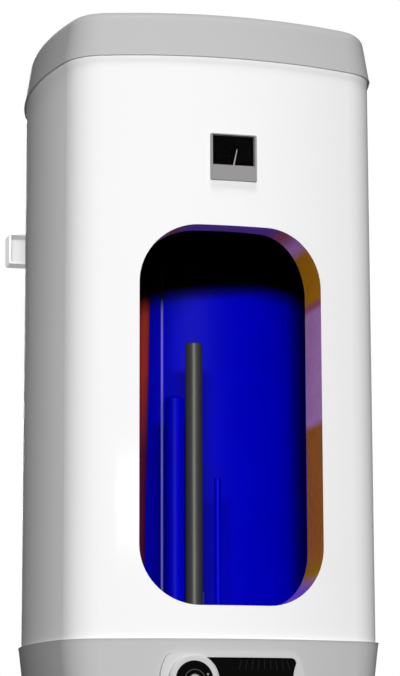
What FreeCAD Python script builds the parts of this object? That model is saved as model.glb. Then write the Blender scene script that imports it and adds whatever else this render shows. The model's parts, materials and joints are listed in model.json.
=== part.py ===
"""Wall-hung storage water heater, cut away at the front to show its tank.

Heater axes: X to the right seen from the front, Y into the wall, Z up. Pieces are drawn with the body's
middle at X = Y = 0 and the bottom seam at Z = 0, then moved so that the origin is the middle of the wall
bolts on the wall. Sizes are in millimetres.
"""

import FreeCAD
import Part
import math
import os
import re

import Sketcher
from FreeCAD import Placement, Rotation, Vector

SIZES = {
    # Place on the wall
    "wall_gap": 38,
    "bolts_above_seam": 664,
    # Plan of the body: four bowed sides and four round corners
    "half_width": 260,
    "half_depth": 241,
    "front_bow": 58,
    "side_bow": 47.5,
    "corner_radius": 68,
    # Jacket and the window cut through it
    "jacket_height": 870,
    "jacket_sheet": 1,
    "window_width": 280,
    "window_height": 564,
    "window_sill": 48,
    "window_radius": 88,
    # Top lid
    "lid_lip": 3.7,
    "lid_draft": 8.2,
    "lid_height": 73.5,
    "lid_edge": 19,
    "lid_wall": 3,
    # Bottom cap
    "cap_lip": 4.4,
    "cap_draft": 9,
    "cap_depth": 112,
    "cap_edge": 18,
    "cap_wall": 3,
    "rim_seat": 2,
    # Tank
    "tank_radius": 197,
    "tank_wall": 2.5,
    "tank_low": 40,
    "tank_below_top": 15,
    "dome_rise": 58,
    "foam_cap": 60,
    "foam_cap_inset": 16,
    # Gaps between pieces
    "gap": 0.3,
    "pin_gap": 0.05,
    # Flange under the tank
    "neck_bore": 65,
    "neck_wall": 4,
    "neck_rise": 6,
    "neck_length": 24,
    "ring_radius": 88,
    "ring_thickness": 10,
    "gasket_thickness": 3,
    "cover_thickness": 8,
    "bolt_circle": 78,
    "bolt_radius": 4,
    "bolt_head_radius": 7.5,
    "bolt_head_height": 6,
    "bolt_past_ring": 3,
    # Things that stand on the flange cover
    "anode_radius": 13.5,
    "anode_top": 475,
    "anode_foot": 4,
    "anode_stud_radius": 4,
    "stud_below": 14,
    "nut_radius": 7.5,
    "nut_height": 6,
    "pocket_x": -31,
    "pocket_radius": 15.5,
    "pocket_wall": 1.5,
    "pocket_top": 388,
    "pocket_edge": 4,
    "pocket_collar": 2.2,
    "collar_height": 4,
    "core_play": 0.6,
    "core_groove": 3,
    "core_top_gap": 18,
    "head_height": 16,
    "tab_width": 6.3,
    "tab_thickness": 0.8,
    "tab_length": 9,
    "tab_spread": 7,
    "sheath_x": 38,
    "sheath_radius": 5.5,
    "sheath_wall": 1,
    "sheath_top": 263,
    "probe_play": 0.8,
    "probe_length": 250,
    "sensor_x": -43,
    "sensor_y": 35,
    "sensor_radius": 2,
    "sensor_wall": 0.5,
    "sensor_top": 640,
    # Water pipes
    "pipe_spread": 50,
    "pipe_back": 170,
    "pipe_radius": 10,
    "stub_radius": 10.48,
    "pipe_wall": 2,
    "stub_below": 30,
    "hot_bend": 66,
    "riser_radius": 9.5,
    "hot_above_shell": 11,
    "hot_drift": 15.4,
    "cold_top": 66,
    "diffuser_top": 97,
    "diffuser_wall": 1.5,
    "diffuser_slot": 6,
    "collar_wall": 6,
    "collar_thickness": 3,
    # Safety thermostat under the sheath
    "thermostat_width": 46,
    "thermostat_depth": 38,
    "thermostat_height": 26,
    "reset_radius": 3,
    "reset_proud": 4,
    "reset_depth": 6,
    "reset_travel": 1.5,
    # Base plate, posts and screws of the bottom cap
    "plate_thickness": 2,
    "plate_hole": 152,
    "post_x": 170,
    "post_y": 140,
    "post_radius": 5,
    "screw_radius": 2,
    "screw_head_radius": 4,
    "screw_head_height": 2.2,
    "screw_length": 16,
    # Electrical pieces on the cap's floor
    "terminal_x": 125,
    "terminal_y": 20,
    "terminal_width": 44,
    "terminal_depth": 34,
    "terminal_height": 18,
    "terminal_screw_radius": 3,
    "terminal_pitch": 14,
    "gland_x": 150,
    "gland_y": 95,
    "gland_radius": 8,
    "gland_flange": 12.5,
    "gland_flange_thickness": 4,
    "gland_nose": 14,
    "gland_bore": 4.5,
    "gland_nut_height": 5,
    "board_x": -120,
    "board_y": -190,
    "board_width": 100,
    "board_depth": 75,
    "board_thickness": 1.6,
    "board_lift": 8,
    "pillar_radius": 3,
    "pillar_inset": 6,
    "relay_width": 28,
    "relay_depth": 12,
    "relay_height": 16,
    "supply_size": 30,
    "supply_height": 22,
    "plug_width": 24,
    "plug_depth": 8,
    "plug_height": 9,
    # Control panel on the bottom cap
    "panel_x": -3.2,
    "panel_middle": -60,
    "panel_half_height": 39,
    "panel_half_width": 96,
    "panel_belly": 12,
    "panel_corner": 13,
    "panel_proud": 6,
    "panel_thickness": 10,
    "skirt_depth": 7,
    "skirt_wall": 3,
    "knob_x": -64,
    "ring_outer": 36.5,
    "ring_proud": 9,
    "ring_bevel": 2,
    "knob_radius": 27.4,
    "knob_height": 10,
    "knob_proud": 2,
    "knob_bevel": 1.2,
    "knob_floor": 3.5,
    "button_radius": 9.8,
    "button_height": 4.8,
    "button_proud": 1,
    "spindle_radius": 3,
    "spindle_reach": 18,
    "display_left": 38,
    "display_top": 32.6,
    "display_right": 91,
    "display_narrow": 5,
    "display_corner": 8,
    "display_sunk": 1,
    "lens_thickness": 2,
    "lcd_low_x": -18,
    "lcd_high_x": 78,
    "lcd_half_height": 24,
    "circuit_width": 172,
    "circuit_height": 68,
    "circuit_x": -3,
    "circuit_back": 218,
    "encoder_size": 14,
    "encoder_depth": 7,
    "encoder_bush": 4,
    "bush_wall": 1.5,
    "circuit_pillar": 3,
    "circuit_pillar_x": 78,
    "circuit_pillar_z": 28,
    # Thermometer on the jacket
    "dial_middle": 716.1,
    "dial_width": 71.5,
    "dial_height": 71.5,
    "dial_proud": 3.5,
    "dial_corner": 2.5,
    "case_width": 68,
    "case_height": 70.6,
    "case_depth": 16,
    "case_floor": 2,
    "view_width": 65,
    "view_low": -20,
    "view_high": 34,
    "view_depth": 7,
    "cavity_width": 52,
    "cavity_low": -28,
    "cavity_high": 32,
    "movement_radius": 12.5,
    "plate_face": 1,
    "needle_x": -0.1,
    "needle_z": -15,
    "needle_length": 29.5,
    "needle_width": 1.6,
    "needle_plate": 0.6,
    "needle_tail": 3.5,
    "needle_lift": 1.6,
    "hub_radius": 2.4,
    "pin_radius": 0.8,
    "pin_length": 5,
    "glass_thickness": 1.5,
    "glass_sunk": 0.5,
    "strip_height": 23,
    "strip_thickness": 1,
    "strip_middle": -24,
    "bulb_radius": 3.5,
    "bulb_length": 50,
    "capillary_radius": 1,
    # Wall bracket and spacers
    "bracket_half_length": 253.5,
    "bracket_height": 51.5,
    "bracket_rise": 3,
    "bracket_sheet": 3,
    "bracket_corner": 4,
    "bracket_stand_off": 1,
    "wall_bolt_inset": 38.5,
    "wall_bolt_radius": 5.5,
    "hanger_spread": 70,
    "hanger_radius": 14,
    "spacer_spread": 110,
    "spacer_height": 80,
    "spacer_radius": 15,
}

BOLT_COUNT = 8
NEEDLE_LEAN = 12.5
CORE_SEGMENTS = 12
SHEET = "Sizes"
FAR = "(2 * (half_width + half_depth))"
FRONT_ARC = "((half_width^2 + front_bow^2) / (2 * front_bow))"
SIDE_ARC = "((half_depth^2 + side_bow^2) / (2 * side_bow))"
TANK_OUTER = "(tank_radius + tank_wall)"
TANK_HIGH = "(jacket_height - tank_below_top)"
PIPE_BORE = "(pipe_radius - pipe_wall)"
HOT_RISE = f"({TANK_HIGH} + hot_above_shell - hot_bend)"
NECK_TOP = "(tank_low - dome_rise + neck_rise)"
RING_TOP = f"({NECK_TOP} - neck_length)"
RING_LOW = f"({RING_TOP} - ring_thickness)"
COVER_TOP = f"({RING_LOW} - gasket_thickness)"
COVER_LOW = f"({COVER_TOP} - cover_thickness)"
COLLAR_LOW = f"({COVER_LOW} - collar_height)"
FLOOR = "(cap_wall - cap_depth)"
PANEL_FACE = "(half_depth + panel_proud)"
RING_FACE = "(half_depth + ring_proud)"
KNOB_FACE = f"({RING_FACE} + knob_proud)"
CASE_FACE = "(half_depth + dial_proud)"
WALL_FACE = "(half_depth + wall_gap)"

doc = FreeCAD.newDocument("water_heater")
sheet = doc.addObject("Spreadsheet::Sheet", SHEET)
placed = {}
pieces = []


def fill_sheet():
    """Writes each driving size into the sheet, with its name as the cell's alias."""
    for row, (name, size) in enumerate(SIZES.items(), start=1):
        sheet.set(f"A{row}", name)
        sheet.set(f"B{row}", str(size))
        sheet.setAlias(f"B{row}", name)
    doc.recompute()


def number(text):
    """The number that an expression in the sheet's names gives."""
    return float(sheet.evalExpression(str(text)))


def linked(text):
    """The same expression, as another object of the document refers to the sheet."""
    def with_sheet(word):
        return f"{SHEET}.{word[0]}" if word[0] in SIZES else word[0]
    return re.sub(r"[a-z][a-z_]*", with_sheet, str(text))


def bind(thing, name, text):
    thing.setExpression(name, linked(text))


def place(thing, x="0", y="0", z="0"):
    """Puts a thing at a place in the heater's own axes and keeps it bound there."""
    placed[thing.Name] = (x, y, z)
    for axis, text in zip("xyz", (x, y, z)):
        bind(thing, f"Placement.Base.{axis}", text)
    return thing


def facing(thing, way):
    """Turns a thing that is drawn along its own Z."""
    turns = {"front": (Vector(1, 0, 0), 90), "back": (Vector(1, 0, 0), -90), "down": (Vector(0, 1, 0), 180)}
    if way in turns:
        thing.Placement = Placement(Vector(0, 0, 0), Rotation(*turns[way]))
    return thing


def leaning(thing, angle):
    """Leans a thing to the right by an angle."""
    thing.Placement = Placement(thing.Placement.Base, Rotation(Vector(0, 1, 0), 1))
    bind(thing, "Placement.Rotation.Angle", angle)
    return thing


def finished(label, thing):
    """Names a piece and moves it from the heater's axes to the frame of the wall bolts."""
    thing.Label = label
    x, y, z = placed.get(thing.Name, ("0", "0", "0"))
    place(thing, x, f"{y} - {WALL_FACE}", f"{z} - bolts_above_seam")
    pieces.append(thing)
    return thing


# Sketches and bodies


def new_body(name):
    return doc.addObject("PartDesign::Body", name)


def new_sketch(body, role="XY_Plane", lift="0"):
    sketch = body.newObject("Sketcher::SketchObject", body.Name + "_sketch")
    plane = next(item for item in body.Origin.OriginFeatures if item.Role == role)
    sketch.AttachmentSupport = (plane, [""])
    sketch.MapMode = "FlatFace"
    bind(sketch, "AttachmentOffset.Base.z", lift)
    return sketch


def constrain(sketch, kind, *values, text=None):
    index = sketch.addConstraint(Sketcher.Constraint(kind, *values))
    if text is not None:
        bind(sketch, f"Constraints[{index}]", text)


def fix_point(sketch, edge, end, x, y):
    constrain(sketch, "DistanceX", edge, end, number(x), text=x)
    constrain(sketch, "DistanceY", edge, end, number(y), text=y)


def arc_between(start, end, radius, turn):
    """The short arc from start to end, to the left (turn 1) or right (turn -1) of its centre."""
    chord = end - start
    rise = math.sqrt(max(radius**2 - (chord.Length / 2) ** 2, 0))
    left = Vector(-chord.y, chord.x, 0).normalize()
    centre = (start + end) / 2 + left * rise * turn
    first, last = (start, end) if turn > 0 else (end, start)
    low = math.atan2(first.y - centre.y, first.x - centre.x)
    high = math.atan2(last.y - centre.y, last.x - centre.x)
    if high <= low:
        high += 2 * math.pi
    return Part.ArcOfCircle(Part.Circle(centre, Vector(0, 0, 1), radius), low, high)


def outline(sketch, corners):
    """A closed outline. Each corner is (x, y), or (x, y, radius, turn) where an arc leaves it."""
    points = [Vector(number(corner[0]), number(corner[1]), 0) for corner in corners]
    edges = []
    for corner, start, end in zip(corners, points, points[1:] + points[:1]):
        if len(corner) == 2:
            edges.append((sketch.addGeometry(Part.LineSegment(start, end), False), 1, 2))
            continue
        arc = sketch.addGeometry(arc_between(start, end, number(corner[2]), corner[3]), False)
        edges.append((arc, 1, 2) if corner[3] > 0 else (arc, 2, 1))
    for before, after in zip(edges[-1:] + edges[:-1], edges):
        constrain(sketch, "Coincident", before[0], before[2], after[0], after[1])
    for corner, edge in zip(corners, edges):
        fix_point(sketch, edge[0], edge[1], corner[0], corner[1])
        if len(corner) > 2:
            constrain(sketch, "Radius", edge[0], number(corner[2]), text=corner[2])


def circle(sketch, radius, x="0", y="0"):
    centre = Vector(number(x), number(y), 0)
    edge = sketch.addGeometry(Part.Circle(centre, Vector(0, 0, 1), number(radius)), False)
    fix_point(sketch, edge, 3, x, y)
    constrain(sketch, "Radius", edge, number(radius), text=radius)


def rounded(sketch, left, right, low, high, radius):
    """A rectangle with four round corners."""
    outline(sketch, [
        (f"{left} + {radius}", low),
        (f"{right} - {radius}", low, radius, 1),
        (right, f"{low} + {radius}"),
        (right, f"{high} - {radius}", radius, 1),
        (f"{right} - {radius}", high),
        (f"{left} + {radius}", high, radius, 1),
        (left, f"{high} - {radius}"),
        (left, f"{low} + {radius}", radius, 1),
    ])


def plan(sketch, inset):
    """The body's plan, moved in by inset: bowed sides, round corners, each arc tangent to the next."""
    front, side, corner = (f"({arc} - ({inset}))" for arc in (FRONT_ARC, SIDE_ARC, "corner_radius"))
    front_y = f"({FRONT_ARC} - half_depth)"
    side_x = f"({SIDE_ARC} - half_width)"
    fy, sx = number(front_y), number(side_x)
    reach_front = number(FRONT_ARC) - number("corner_radius")
    reach_side = number(SIDE_ARC) - number("corner_radius")
    span = math.hypot(fy, sx)
    along = (reach_front**2 - reach_side**2 + span**2) / (2 * span)
    off = math.sqrt(reach_front**2 - along**2)
    ux, uy = -sx / span, fy / span
    cx, cy = along * ux + off * uy, -fy + along * uy - off * ux
    if cy < 0:
        cx, cy = along * ux - off * uy, -fy + along * uy + off * ux
    corner_low = math.atan2(cy, cx + sx)
    corner_high = math.atan2(cy + fy, cx)
    arcs = []
    for centre, radius, start, end in (
        (Vector(-sx, 0, 0), number(side), -corner_low, corner_low),
        (Vector(cx, cy, 0), number(corner), corner_low, corner_high),
        (Vector(0, -fy, 0), number(front), corner_high, math.pi - corner_high),
        (Vector(-cx, cy, 0), number(corner), math.pi - corner_high, math.pi - corner_low),
        (Vector(sx, 0, 0), number(side), math.pi - corner_low, math.pi + corner_low),
        (Vector(-cx, -cy, 0), number(corner), math.pi + corner_low, math.pi + corner_high),
        (Vector(0, fy, 0), number(front), math.pi + corner_high, 2 * math.pi - corner_high),
        (Vector(cx, -cy, 0), number(corner), 2 * math.pi - corner_high, 2 * math.pi - corner_low),
    ):
        round_edge = Part.Circle(centre, Vector(0, 0, 1), radius)
        arcs.append(sketch.addGeometry(Part.ArcOfCircle(round_edge, start, end), False))
    for before, after in zip(arcs, arcs[1:] + arcs[:1]):
        constrain(sketch, "Tangent", before, 2, after, 1)
    for edge, radius in zip(arcs, (side, corner, front, corner) * 2):
        constrain(sketch, "Radius", edge, number(radius), text=radius)
    for edge, x, y in ((arcs[0], f"-{side_x}", "0"), (arcs[4], side_x, "0"),
                       (arcs[2], "0", f"-{front_y}"), (arcs[6], "0", front_y)):
        fix_point(sketch, edge, 3, x, y)


def pad(body, sketch, length):
    feature = body.newObject("PartDesign::Pad", body.Name + "_pad")
    feature.Profile = sketch
    bind(feature, "Length", length)
    return feature


def pocket(body, sketch, length):
    """Cuts the sketch into the body, and makes sure that it removed something."""
    doc.recompute()
    before = body.Shape.Volume
    feature = body.newObject("PartDesign::Pocket", body.Name + "_pocket")
    feature.Profile = sketch
    bind(feature, "Length", length)
    doc.recompute()
    if not body.Shape.Volume < before:
        raise RuntimeError(f"{body.Name}: a pocket removed nothing")
    return feature


def turned(name, corners, way="up"):
    """A body of revolution about its own Z, from its half profile (radius, height)."""
    body = facing(new_body(name), way)
    sketch = new_sketch(body, "XZ_Plane")
    outline(sketch, corners)
    feature = body.newObject("PartDesign::Revolution", name + "_turn")
    feature.Profile = sketch
    feature.ReferenceAxis = (sketch, ["V_Axis"])
    feature.Angle = 360
    return place(body)


def padded(name, draw, length, role="XY_Plane", lift="0", way="up"):
    """A body padded from one sketch, which the function draw makes."""
    body = facing(new_body(name), way)
    sketch = new_sketch(body, role, lift)
    draw(sketch)
    pad(body, sketch, length)
    return place(body)


# Primitives and booleans


def cylinder(name, radius, length, x="0", y="0", z="0", way="up"):
    made = facing(doc.addObject("Part::Cylinder", name), way)
    bind(made, "Radius", radius)
    bind(made, "Height", length)
    return place(made, x, y, z)


def block(name, x, y, z):
    """A box from three pairs of low and high sides."""
    made = doc.addObject("Part::Box", name)
    for side, (low, high) in zip(("Length", "Width", "Height"), (x, y, z)):
        bind(made, side, f"({high}) - ({low})")
    return place(made, x[0], y[0], z[0])


def hexagon(name, radius, length, x="0", y="0", z="0"):
    made = doc.addObject("Part::Prism", name)
    made.Polygon = 6
    bind(made, "Circumradius", radius)
    bind(made, "Height", length)
    return place(made, x, y, z)


def half_ellipsoid(name, radius, rise, z, upper):
    made = doc.addObject("Part::Ellipsoid", name)
    bind(made, "Radius1", rise)
    bind(made, "Radius2", radius)
    bind(made, "Radius3", radius)
    made.Angle1, made.Angle2 = (0, 90) if upper else (-90, 0)
    return place(made, z=z)


def joined(name, things):
    made = doc.addObject("Part::MultiFuse", name)
    made.Shapes = things
    return place(made)


def group(name, things):
    """Several separate solids that share one node."""
    made = doc.addObject("Part::Compound", name)
    made.Links = things
    return place(made)


def cut(name, base, tools):
    made = doc.addObject("Part::Cut", name)
    made.Base = base
    made.Tool = tools[0] if len(tools) == 1 else joined(name + "_tools", tools)
    return place(made)


def common(name, base, tool):
    made = doc.addObject("Part::Common", name)
    made.Base, made.Tool = base, tool
    return place(made)


# Outer shells


def loft(body, sections, ruled, cuts=False):
    kind = "PartDesign::SubtractiveLoft" if cuts else "PartDesign::AdditiveLoft"
    feature = body.newObject(kind, body.Name + "_loft")
    feature.Profile, feature.Sections, feature.Ruled = sections[0], sections[1:], ruled
    return feature


def plan_at(body, lift, inset):
    section = new_sketch(body, lift=lift)
    plan(section, inset)
    return section


def cover_shell(name, lip, draft, height, edge, wall, way="up"):
    """A bowed cover with drafted sides, a round far edge, an even wall and a thicker rim at its mouth."""
    body = facing(new_body(name), way)
    slope = f"(({draft} + {lip}) / {height})"
    lean = f"atan({slope})"
    round_low = f"({height} - {edge})"
    round_in = f"({slope} * ({round_low} + {edge} * sin({lean})) - {lip} + {edge} * cos({lean}))"
    bends = [f"({lean} * {1 - share} + 90 deg * {share})" for share in (0, 0.25, 0.5, 0.75, 1)]
    rounding = [plan_at(body, f"{round_low} + {edge} * sin({bend})", f"{round_in} - {edge} * cos({bend})")
                for bend in bends]
    loft(body, [plan_at(body, "0", f"-{lip}"), rounding[0]], ruled=True)
    loft(body, rounding, ruled=False)
    inner_top = f"({height} - {wall})"
    hollow = [plan_at(body, "0", "jacket_sheet + rim_seat"),
              plan_at(body, f"{inner_top} - {edge}", f"{wall} - {lip} + {slope} * ({inner_top} - {edge})"),
              plan_at(body, inner_top, f"{wall} + {round_in} - {edge} * 0.25")]
    loft(body, hollow, ruled=True, cuts=True)
    return place(body)


def window_form():
    """The window's shape, cut straight in from the front through jacket, foam and tank."""
    return padded("window_form", lambda sketch: rounded(
        sketch, "-window_width / 2", "window_width / 2", "window_sill", "(window_sill + window_height)",
        "window_radius"), FAR, "XZ_Plane")


def tank_form():
    """The outside of the whole tank, with the clearance that its neighbours keep."""
    radius, rise = f"({TANK_OUTER} + gap)", "(dome_rise + tank_wall + gap)"
    return joined("tank_form", [
        cylinder("tank_form_side", radius, f"{TANK_HIGH} - tank_low", z="tank_low"),
        half_ellipsoid("tank_form_top", radius, rise, TANK_HIGH, True),
        half_ellipsoid("tank_form_low", radius, rise, "tank_low", False),
    ])


def dial_pocket():
    """The opening for the thermometer's case in the jacket and foam."""
    side = "(case_width / 2 + gap)"
    height = "(case_height / 2 + gap)"
    return block("dial_pocket", (f"-{side}", side), (f"-{CASE_FACE}", "-(half_depth - case_depth - gap)"),
                 (f"dial_middle - {height}", f"dial_middle + {height}"))


def bulb_pocket():
    """The opening in the foam from the thermometer's case to the tank."""
    side, height = "(bulb_radius + gap)", "(bulb_length / 2 + gap)"
    return block("bulb_pocket", (f"-{side}", side), ("-(half_depth - case_depth)", "-tank_radius"),
                 (f"dial_middle - {height}", f"dial_middle + {height}"))


def hanger_rods(name, radius):
    """Two rods at the wall bracket's height, from the tank's middle to the bracket's web."""
    return [cylinder(f"{name}_{side}", radius, f"({WALL_FACE} - bracket_sheet)", x=f"{sign}hanger_spread",
                     z="bolts_above_seam", way="back") for side, sign in (("left", "-"), ("right", ""))]


def make_jacket(window, dial, hangers):
    tube = new_body("jacket_tube")
    sketch = new_sketch(tube)
    plan(sketch, "0")
    plan(sketch, "jacket_sheet")
    pad(tube, sketch, "jacket_height")
    finished("jacket", cut("jacket", place(tube), [window, dial, *hangers]))


def make_foam(window, tank, dial, bulb, hangers):
    """The foam in three blocks: round the front and the back of the tank, and over its top."""
    body = new_body("foam_block")
    sketch = new_sketch(body)
    plan(sketch, "jacket_sheet + gap")
    pad(body, sketch, "jacket_height")
    upper = new_sketch(body, lift="jacket_height")
    plan(upper, "foam_cap_inset")
    pad(body, upper, "foam_cap")
    pipes = pipe_openings("foam_pipe_opening", "0", "tank_low")
    foam = cut("foam", place(body), [window, tank, dial, bulb, *hangers, *pipes])
    sides, top = (f"-{FAR}", FAR), f"(jacket_height + {FAR})"
    for label, depths, heights in (("insulation_front", (f"-{FAR}", "0"), ("0", TANK_HIGH)),
                                   ("insulation_back", ("0", FAR), ("0", TANK_HIGH)),
                                   ("insulation_top", sides, (TANK_HIGH, top))):
        finished(label, common(label, foam, block(label + "_room", sides, depths, heights)))


def make_lid():
    lid = cover_shell("top_lid", "lid_lip", "lid_draft", "lid_height", "lid_edge", "lid_wall")
    finished("top_lid", place(lid, z="jacket_height"))


def pipe_openings(name, low, length):
    """The two openings that the water pipes run through, with clearance."""
    return [cylinder(f"{name}_{i}", "pipe_radius + gap", length, x, "pipe_back", low)
            for i, x in enumerate(("-pipe_spread", "pipe_spread"))]


def corners_of(x, y):
    return [(f"{side}{x}", f"{end}{y}") for side in ("-", "") for end in ("-", "")]


def make_cap():
    shell = cover_shell("cap_shell", "cap_lip", "cap_draft", "cap_depth", "cap_edge", "cap_wall", way="down")
    low, depth = "-cap_depth", "cap_wall"
    tools = [panel_prism("panel_opening", "gap", "(half_depth - corner_radius / 2)", FAR)]
    tools += pipe_openings("cap_pipe_opening", low, depth)
    tools.append(cylinder("gland_opening", "gland_radius + gap", depth, "gland_x", "gland_y", low))
    tools += [cylinder(f"screw_opening_{i}", "screw_radius + gap", depth, x, y, low)
              for i, (x, y) in enumerate(corners_of("post_x", "post_y"))]
    finished("bottom_cap", cut("bottom_cap", shell, tools))


def make_base_plate():
    """The sheet that closes the jacket below and carries the cap's posts."""
    def draw(sketch):
        plan(sketch, "jacket_sheet + rim_seat + 2 * gap")
        circle(sketch, "plate_hole")
        circle(sketch, "pipe_radius + gap", "-pipe_spread", "pipe_back")
        circle(sketch, "pipe_radius + gap", "pipe_spread", "pipe_back")
    finished("base_plate", padded("base_plate", draw, "plate_thickness", lift="-plate_thickness"))
    posts, screws = [], []
    for i, (x, y) in enumerate(corners_of("post_x", "post_y")):
        post = cylinder(f"post_{i}", "post_radius", f"(-plate_thickness - {FLOOR})", x, y, FLOOR)
        bore = cylinder(f"post_bore_{i}", "screw_radius + gap", "screw_length", x, y, FLOOR)
        posts.append(cut(f"post_cut_{i}", post, [bore]))
        head = cylinder(f"screw_head_{i}", "screw_head_radius", "screw_head_height", x, y,
                        "-cap_depth - screw_head_height")
        shank = cylinder(f"screw_shank_{i}", "screw_radius", "screw_length", x, y, "-cap_depth")
        screws.append(joined(f"screw_{i}", [head, shank]))
    finished("cap_posts", group("cap_posts", posts))
    finished("cap_screws", group("cap_screws", screws))


# Tank


def make_tank(window):
    outer = cylinder("shell_outer", TANK_OUTER, f"{TANK_HIGH} - tank_low", z="tank_low")
    inner = cylinder("shell_inner", "tank_radius", f"{TANK_HIGH} - tank_low", z="tank_low")
    finished("tank_shell", cut("tank_shell", outer, [inner, window]))
    for label, z, upper in (("tank_top_dome", TANK_HIGH, True), ("tank_bottom_dome", "tank_low", False)):
        outside = half_ellipsoid(label + "_outer", TANK_OUTER, "dome_rise + tank_wall", z, upper)
        tools = [half_ellipsoid(label + "_inner", "tank_radius", "dome_rise", z, upper)]
        if not upper:
            tools.append(cylinder("neck_opening", "neck_bore + neck_wall + gap", "cap_depth", z="-cap_depth"))
            tools += pipe_openings("dome_pipe_opening", "-cap_depth", "cap_depth + tank_low")
        finished(label, cut(label, outside, tools))


def bolt_places():
    step = 360 / BOLT_COUNT
    return [(f"bolt_circle * cos({step * (i + 0.5)} deg)", f"bolt_circle * sin({step * (i + 0.5)} deg)")
            for i in range(BOLT_COUNT)]


def make_flange():
    neck = new_body("flange_neck")
    ring = new_sketch(neck, lift=RING_LOW)
    circle(ring, "ring_radius")
    circle(ring, "neck_bore")
    for x, y in bolt_places():
        circle(ring, "bolt_radius + gap", x, y)
    pad(neck, ring, "ring_thickness")
    tube = new_sketch(neck, lift=RING_TOP)
    circle(tube, "neck_bore + neck_wall")
    circle(tube, "neck_bore")
    pad(neck, tube, "neck_length")
    finished("flange_neck", place(neck))

    def draw_gasket(sketch):
        circle(sketch, "bolt_circle - bolt_radius - 2 * gap")
        circle(sketch, "neck_bore")
    finished("flange_gasket", padded("flange_gasket", draw_gasket, "gasket_thickness", lift=COVER_TOP))

    def draw_cover(sketch):
        circle(sketch, "ring_radius")
        circle(sketch, "anode_stud_radius + gap")
        circle(sketch, "pocket_radius + gap", "pocket_x")
        circle(sketch, "sheath_radius + gap", "sheath_x")
        circle(sketch, "sensor_radius + gap", "sensor_x", "sensor_y")
        for x, y in bolt_places():
            circle(sketch, "bolt_radius + gap", x, y)
    finished("flange_cover", padded("flange_cover", draw_cover, "cover_thickness", lift=COVER_LOW))
    bolts = []
    for i, (x, y) in enumerate(bolt_places()):
        head = hexagon(f"bolt_head_{i}", "bolt_head_radius", "bolt_head_height", x, y,
                       f"{COVER_LOW} - bolt_head_height")
        shank = cylinder(f"bolt_shank_{i}", "bolt_radius", f"({RING_TOP} + bolt_past_ring - {COVER_LOW})",
                         x, y, COVER_LOW)
        bolts.append(joined(f"bolt_{i}", [head, shank]))
    finished("flange_bolts", group("flange_bolts", bolts))


def closed_tube(name, radius, wall, top, edge, x, y="0"):
    """A tube closed at its top, with a collar under the flange cover."""
    outer = f"({radius} + pocket_collar)"
    bore = f"({radius} - {wall})"
    tube = turned(name, [
        (bore, COLLAR_LOW), (outer, COLLAR_LOW), (outer, COVER_LOW), (radius, COVER_LOW),
        (radius, f"{top} - {edge}", edge, 1), (f"{radius} - {edge}", top), ("0", top),
        ("0", f"{top} - {wall}"), (bore, f"{top} - {wall}"),
    ])
    return finished(name, place(tube, x, y))


def make_heater():
    closed_tube("heater_pocket", "pocket_radius", "pocket_wall", "pocket_top", "pocket_edge", "pocket_x")
    core = "(pocket_radius - pocket_wall - core_play)"
    pitch = f"((pocket_top - core_top_gap - {COLLAR_LOW}) / {CORE_SEGMENTS})"
    profile = [("0", COLLAR_LOW)]
    for i in range(CORE_SEGMENTS):
        start = f"({COLLAR_LOW} + {pitch} * {i})"
        profile += [(core, start), (core, f"{start} + {pitch} * 0.8")]
        if i < CORE_SEGMENTS - 1:
            profile += [(f"{core} - core_groove", f"{start} + {pitch} * 0.8"),
                        (f"{core} - core_groove", f"{start} + {pitch}")]
    profile.append(("0", f"{COLLAR_LOW} + {pitch} * ({CORE_SEGMENTS} - 0.2)"))
    finished("heater_core", place(turned("heater_core", profile), "pocket_x"))
    head_radius = "(pocket_radius + pocket_collar)"
    head_low = f"({COLLAR_LOW} - head_height)"
    head = turned("heater_head", [("0", head_low), (f"{head_radius} - pocket_collar", head_low),
                                  (head_radius, f"{head_low} + pocket_collar"), (head_radius, COLLAR_LOW),
                                  ("0", COLLAR_LOW)])
    finished("heater_head", place(head, "pocket_x"))
    tabs = []
    for side in ("-", ""):
        middle = f"(pocket_x + {side}tab_spread)"
        tabs.append(block(f"tab{side}", (f"{middle} - tab_thickness / 2", f"{middle} + tab_thickness / 2"),
                          ("-tab_width / 2", "tab_width / 2"), (f"{head_low} - tab_length", head_low)))
    finished("heater_tabs", group("heater_tabs", tabs))


def make_anode():
    foot = f"({COVER_TOP} + anode_foot)"
    chamfer = "(anode_radius / 8)"
    rod = turned("anode_rod", [
        ("0", foot), ("anode_radius", foot), ("anode_radius", f"anode_top - {chamfer}"),
        (f"anode_radius - {chamfer}", "anode_top"), ("0", "anode_top")])
    finished("anode_rod", rod)
    stud = cylinder("stud", "anode_stud_radius", f"({foot} - {COVER_LOW} + stud_below)",
                    z=f"{COVER_LOW} - stud_below")
    nut = hexagon("stud_nut", "nut_radius", "nut_height", z=f"{COVER_LOW} - nut_height")
    finished("anode_stud", joined("anode_stud", [stud, nut]))


def make_probes():
    closed_tube("probe_sheath", "sheath_radius", "sheath_wall", "sheath_top", "sheath_wall", "sheath_x")
    closed_tube("sensor_tube", "sensor_radius", "sensor_wall", "sensor_top", "sensor_wall", "sensor_x",
                "sensor_y")
    finished("temperature_probe", cylinder("temperature_probe", "sheath_radius - sheath_wall - probe_play",
                                           "probe_length", "sheath_x", "0", COLLAR_LOW))
    low = f"({COLLAR_LOW} - thermostat_height)"
    case = block("thermostat_case", ("sheath_x - thermostat_width / 2", "sheath_x + thermostat_width / 2"),
                 ("-thermostat_depth / 2", "thermostat_depth / 2"), (low, COLLAR_LOW))
    bore = cylinder("reset_bore", "reset_radius + gap", "reset_depth", "sheath_x", "0", low)
    finished("safety_thermostat", cut("safety_thermostat", case, [bore]))
    button = cylinder("reset_button", "reset_radius", "reset_proud + reset_depth - reset_travel - gap",
                      "sheath_x", "0", f"{low} - reset_proud")
    finished("reset_button", button)


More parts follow.
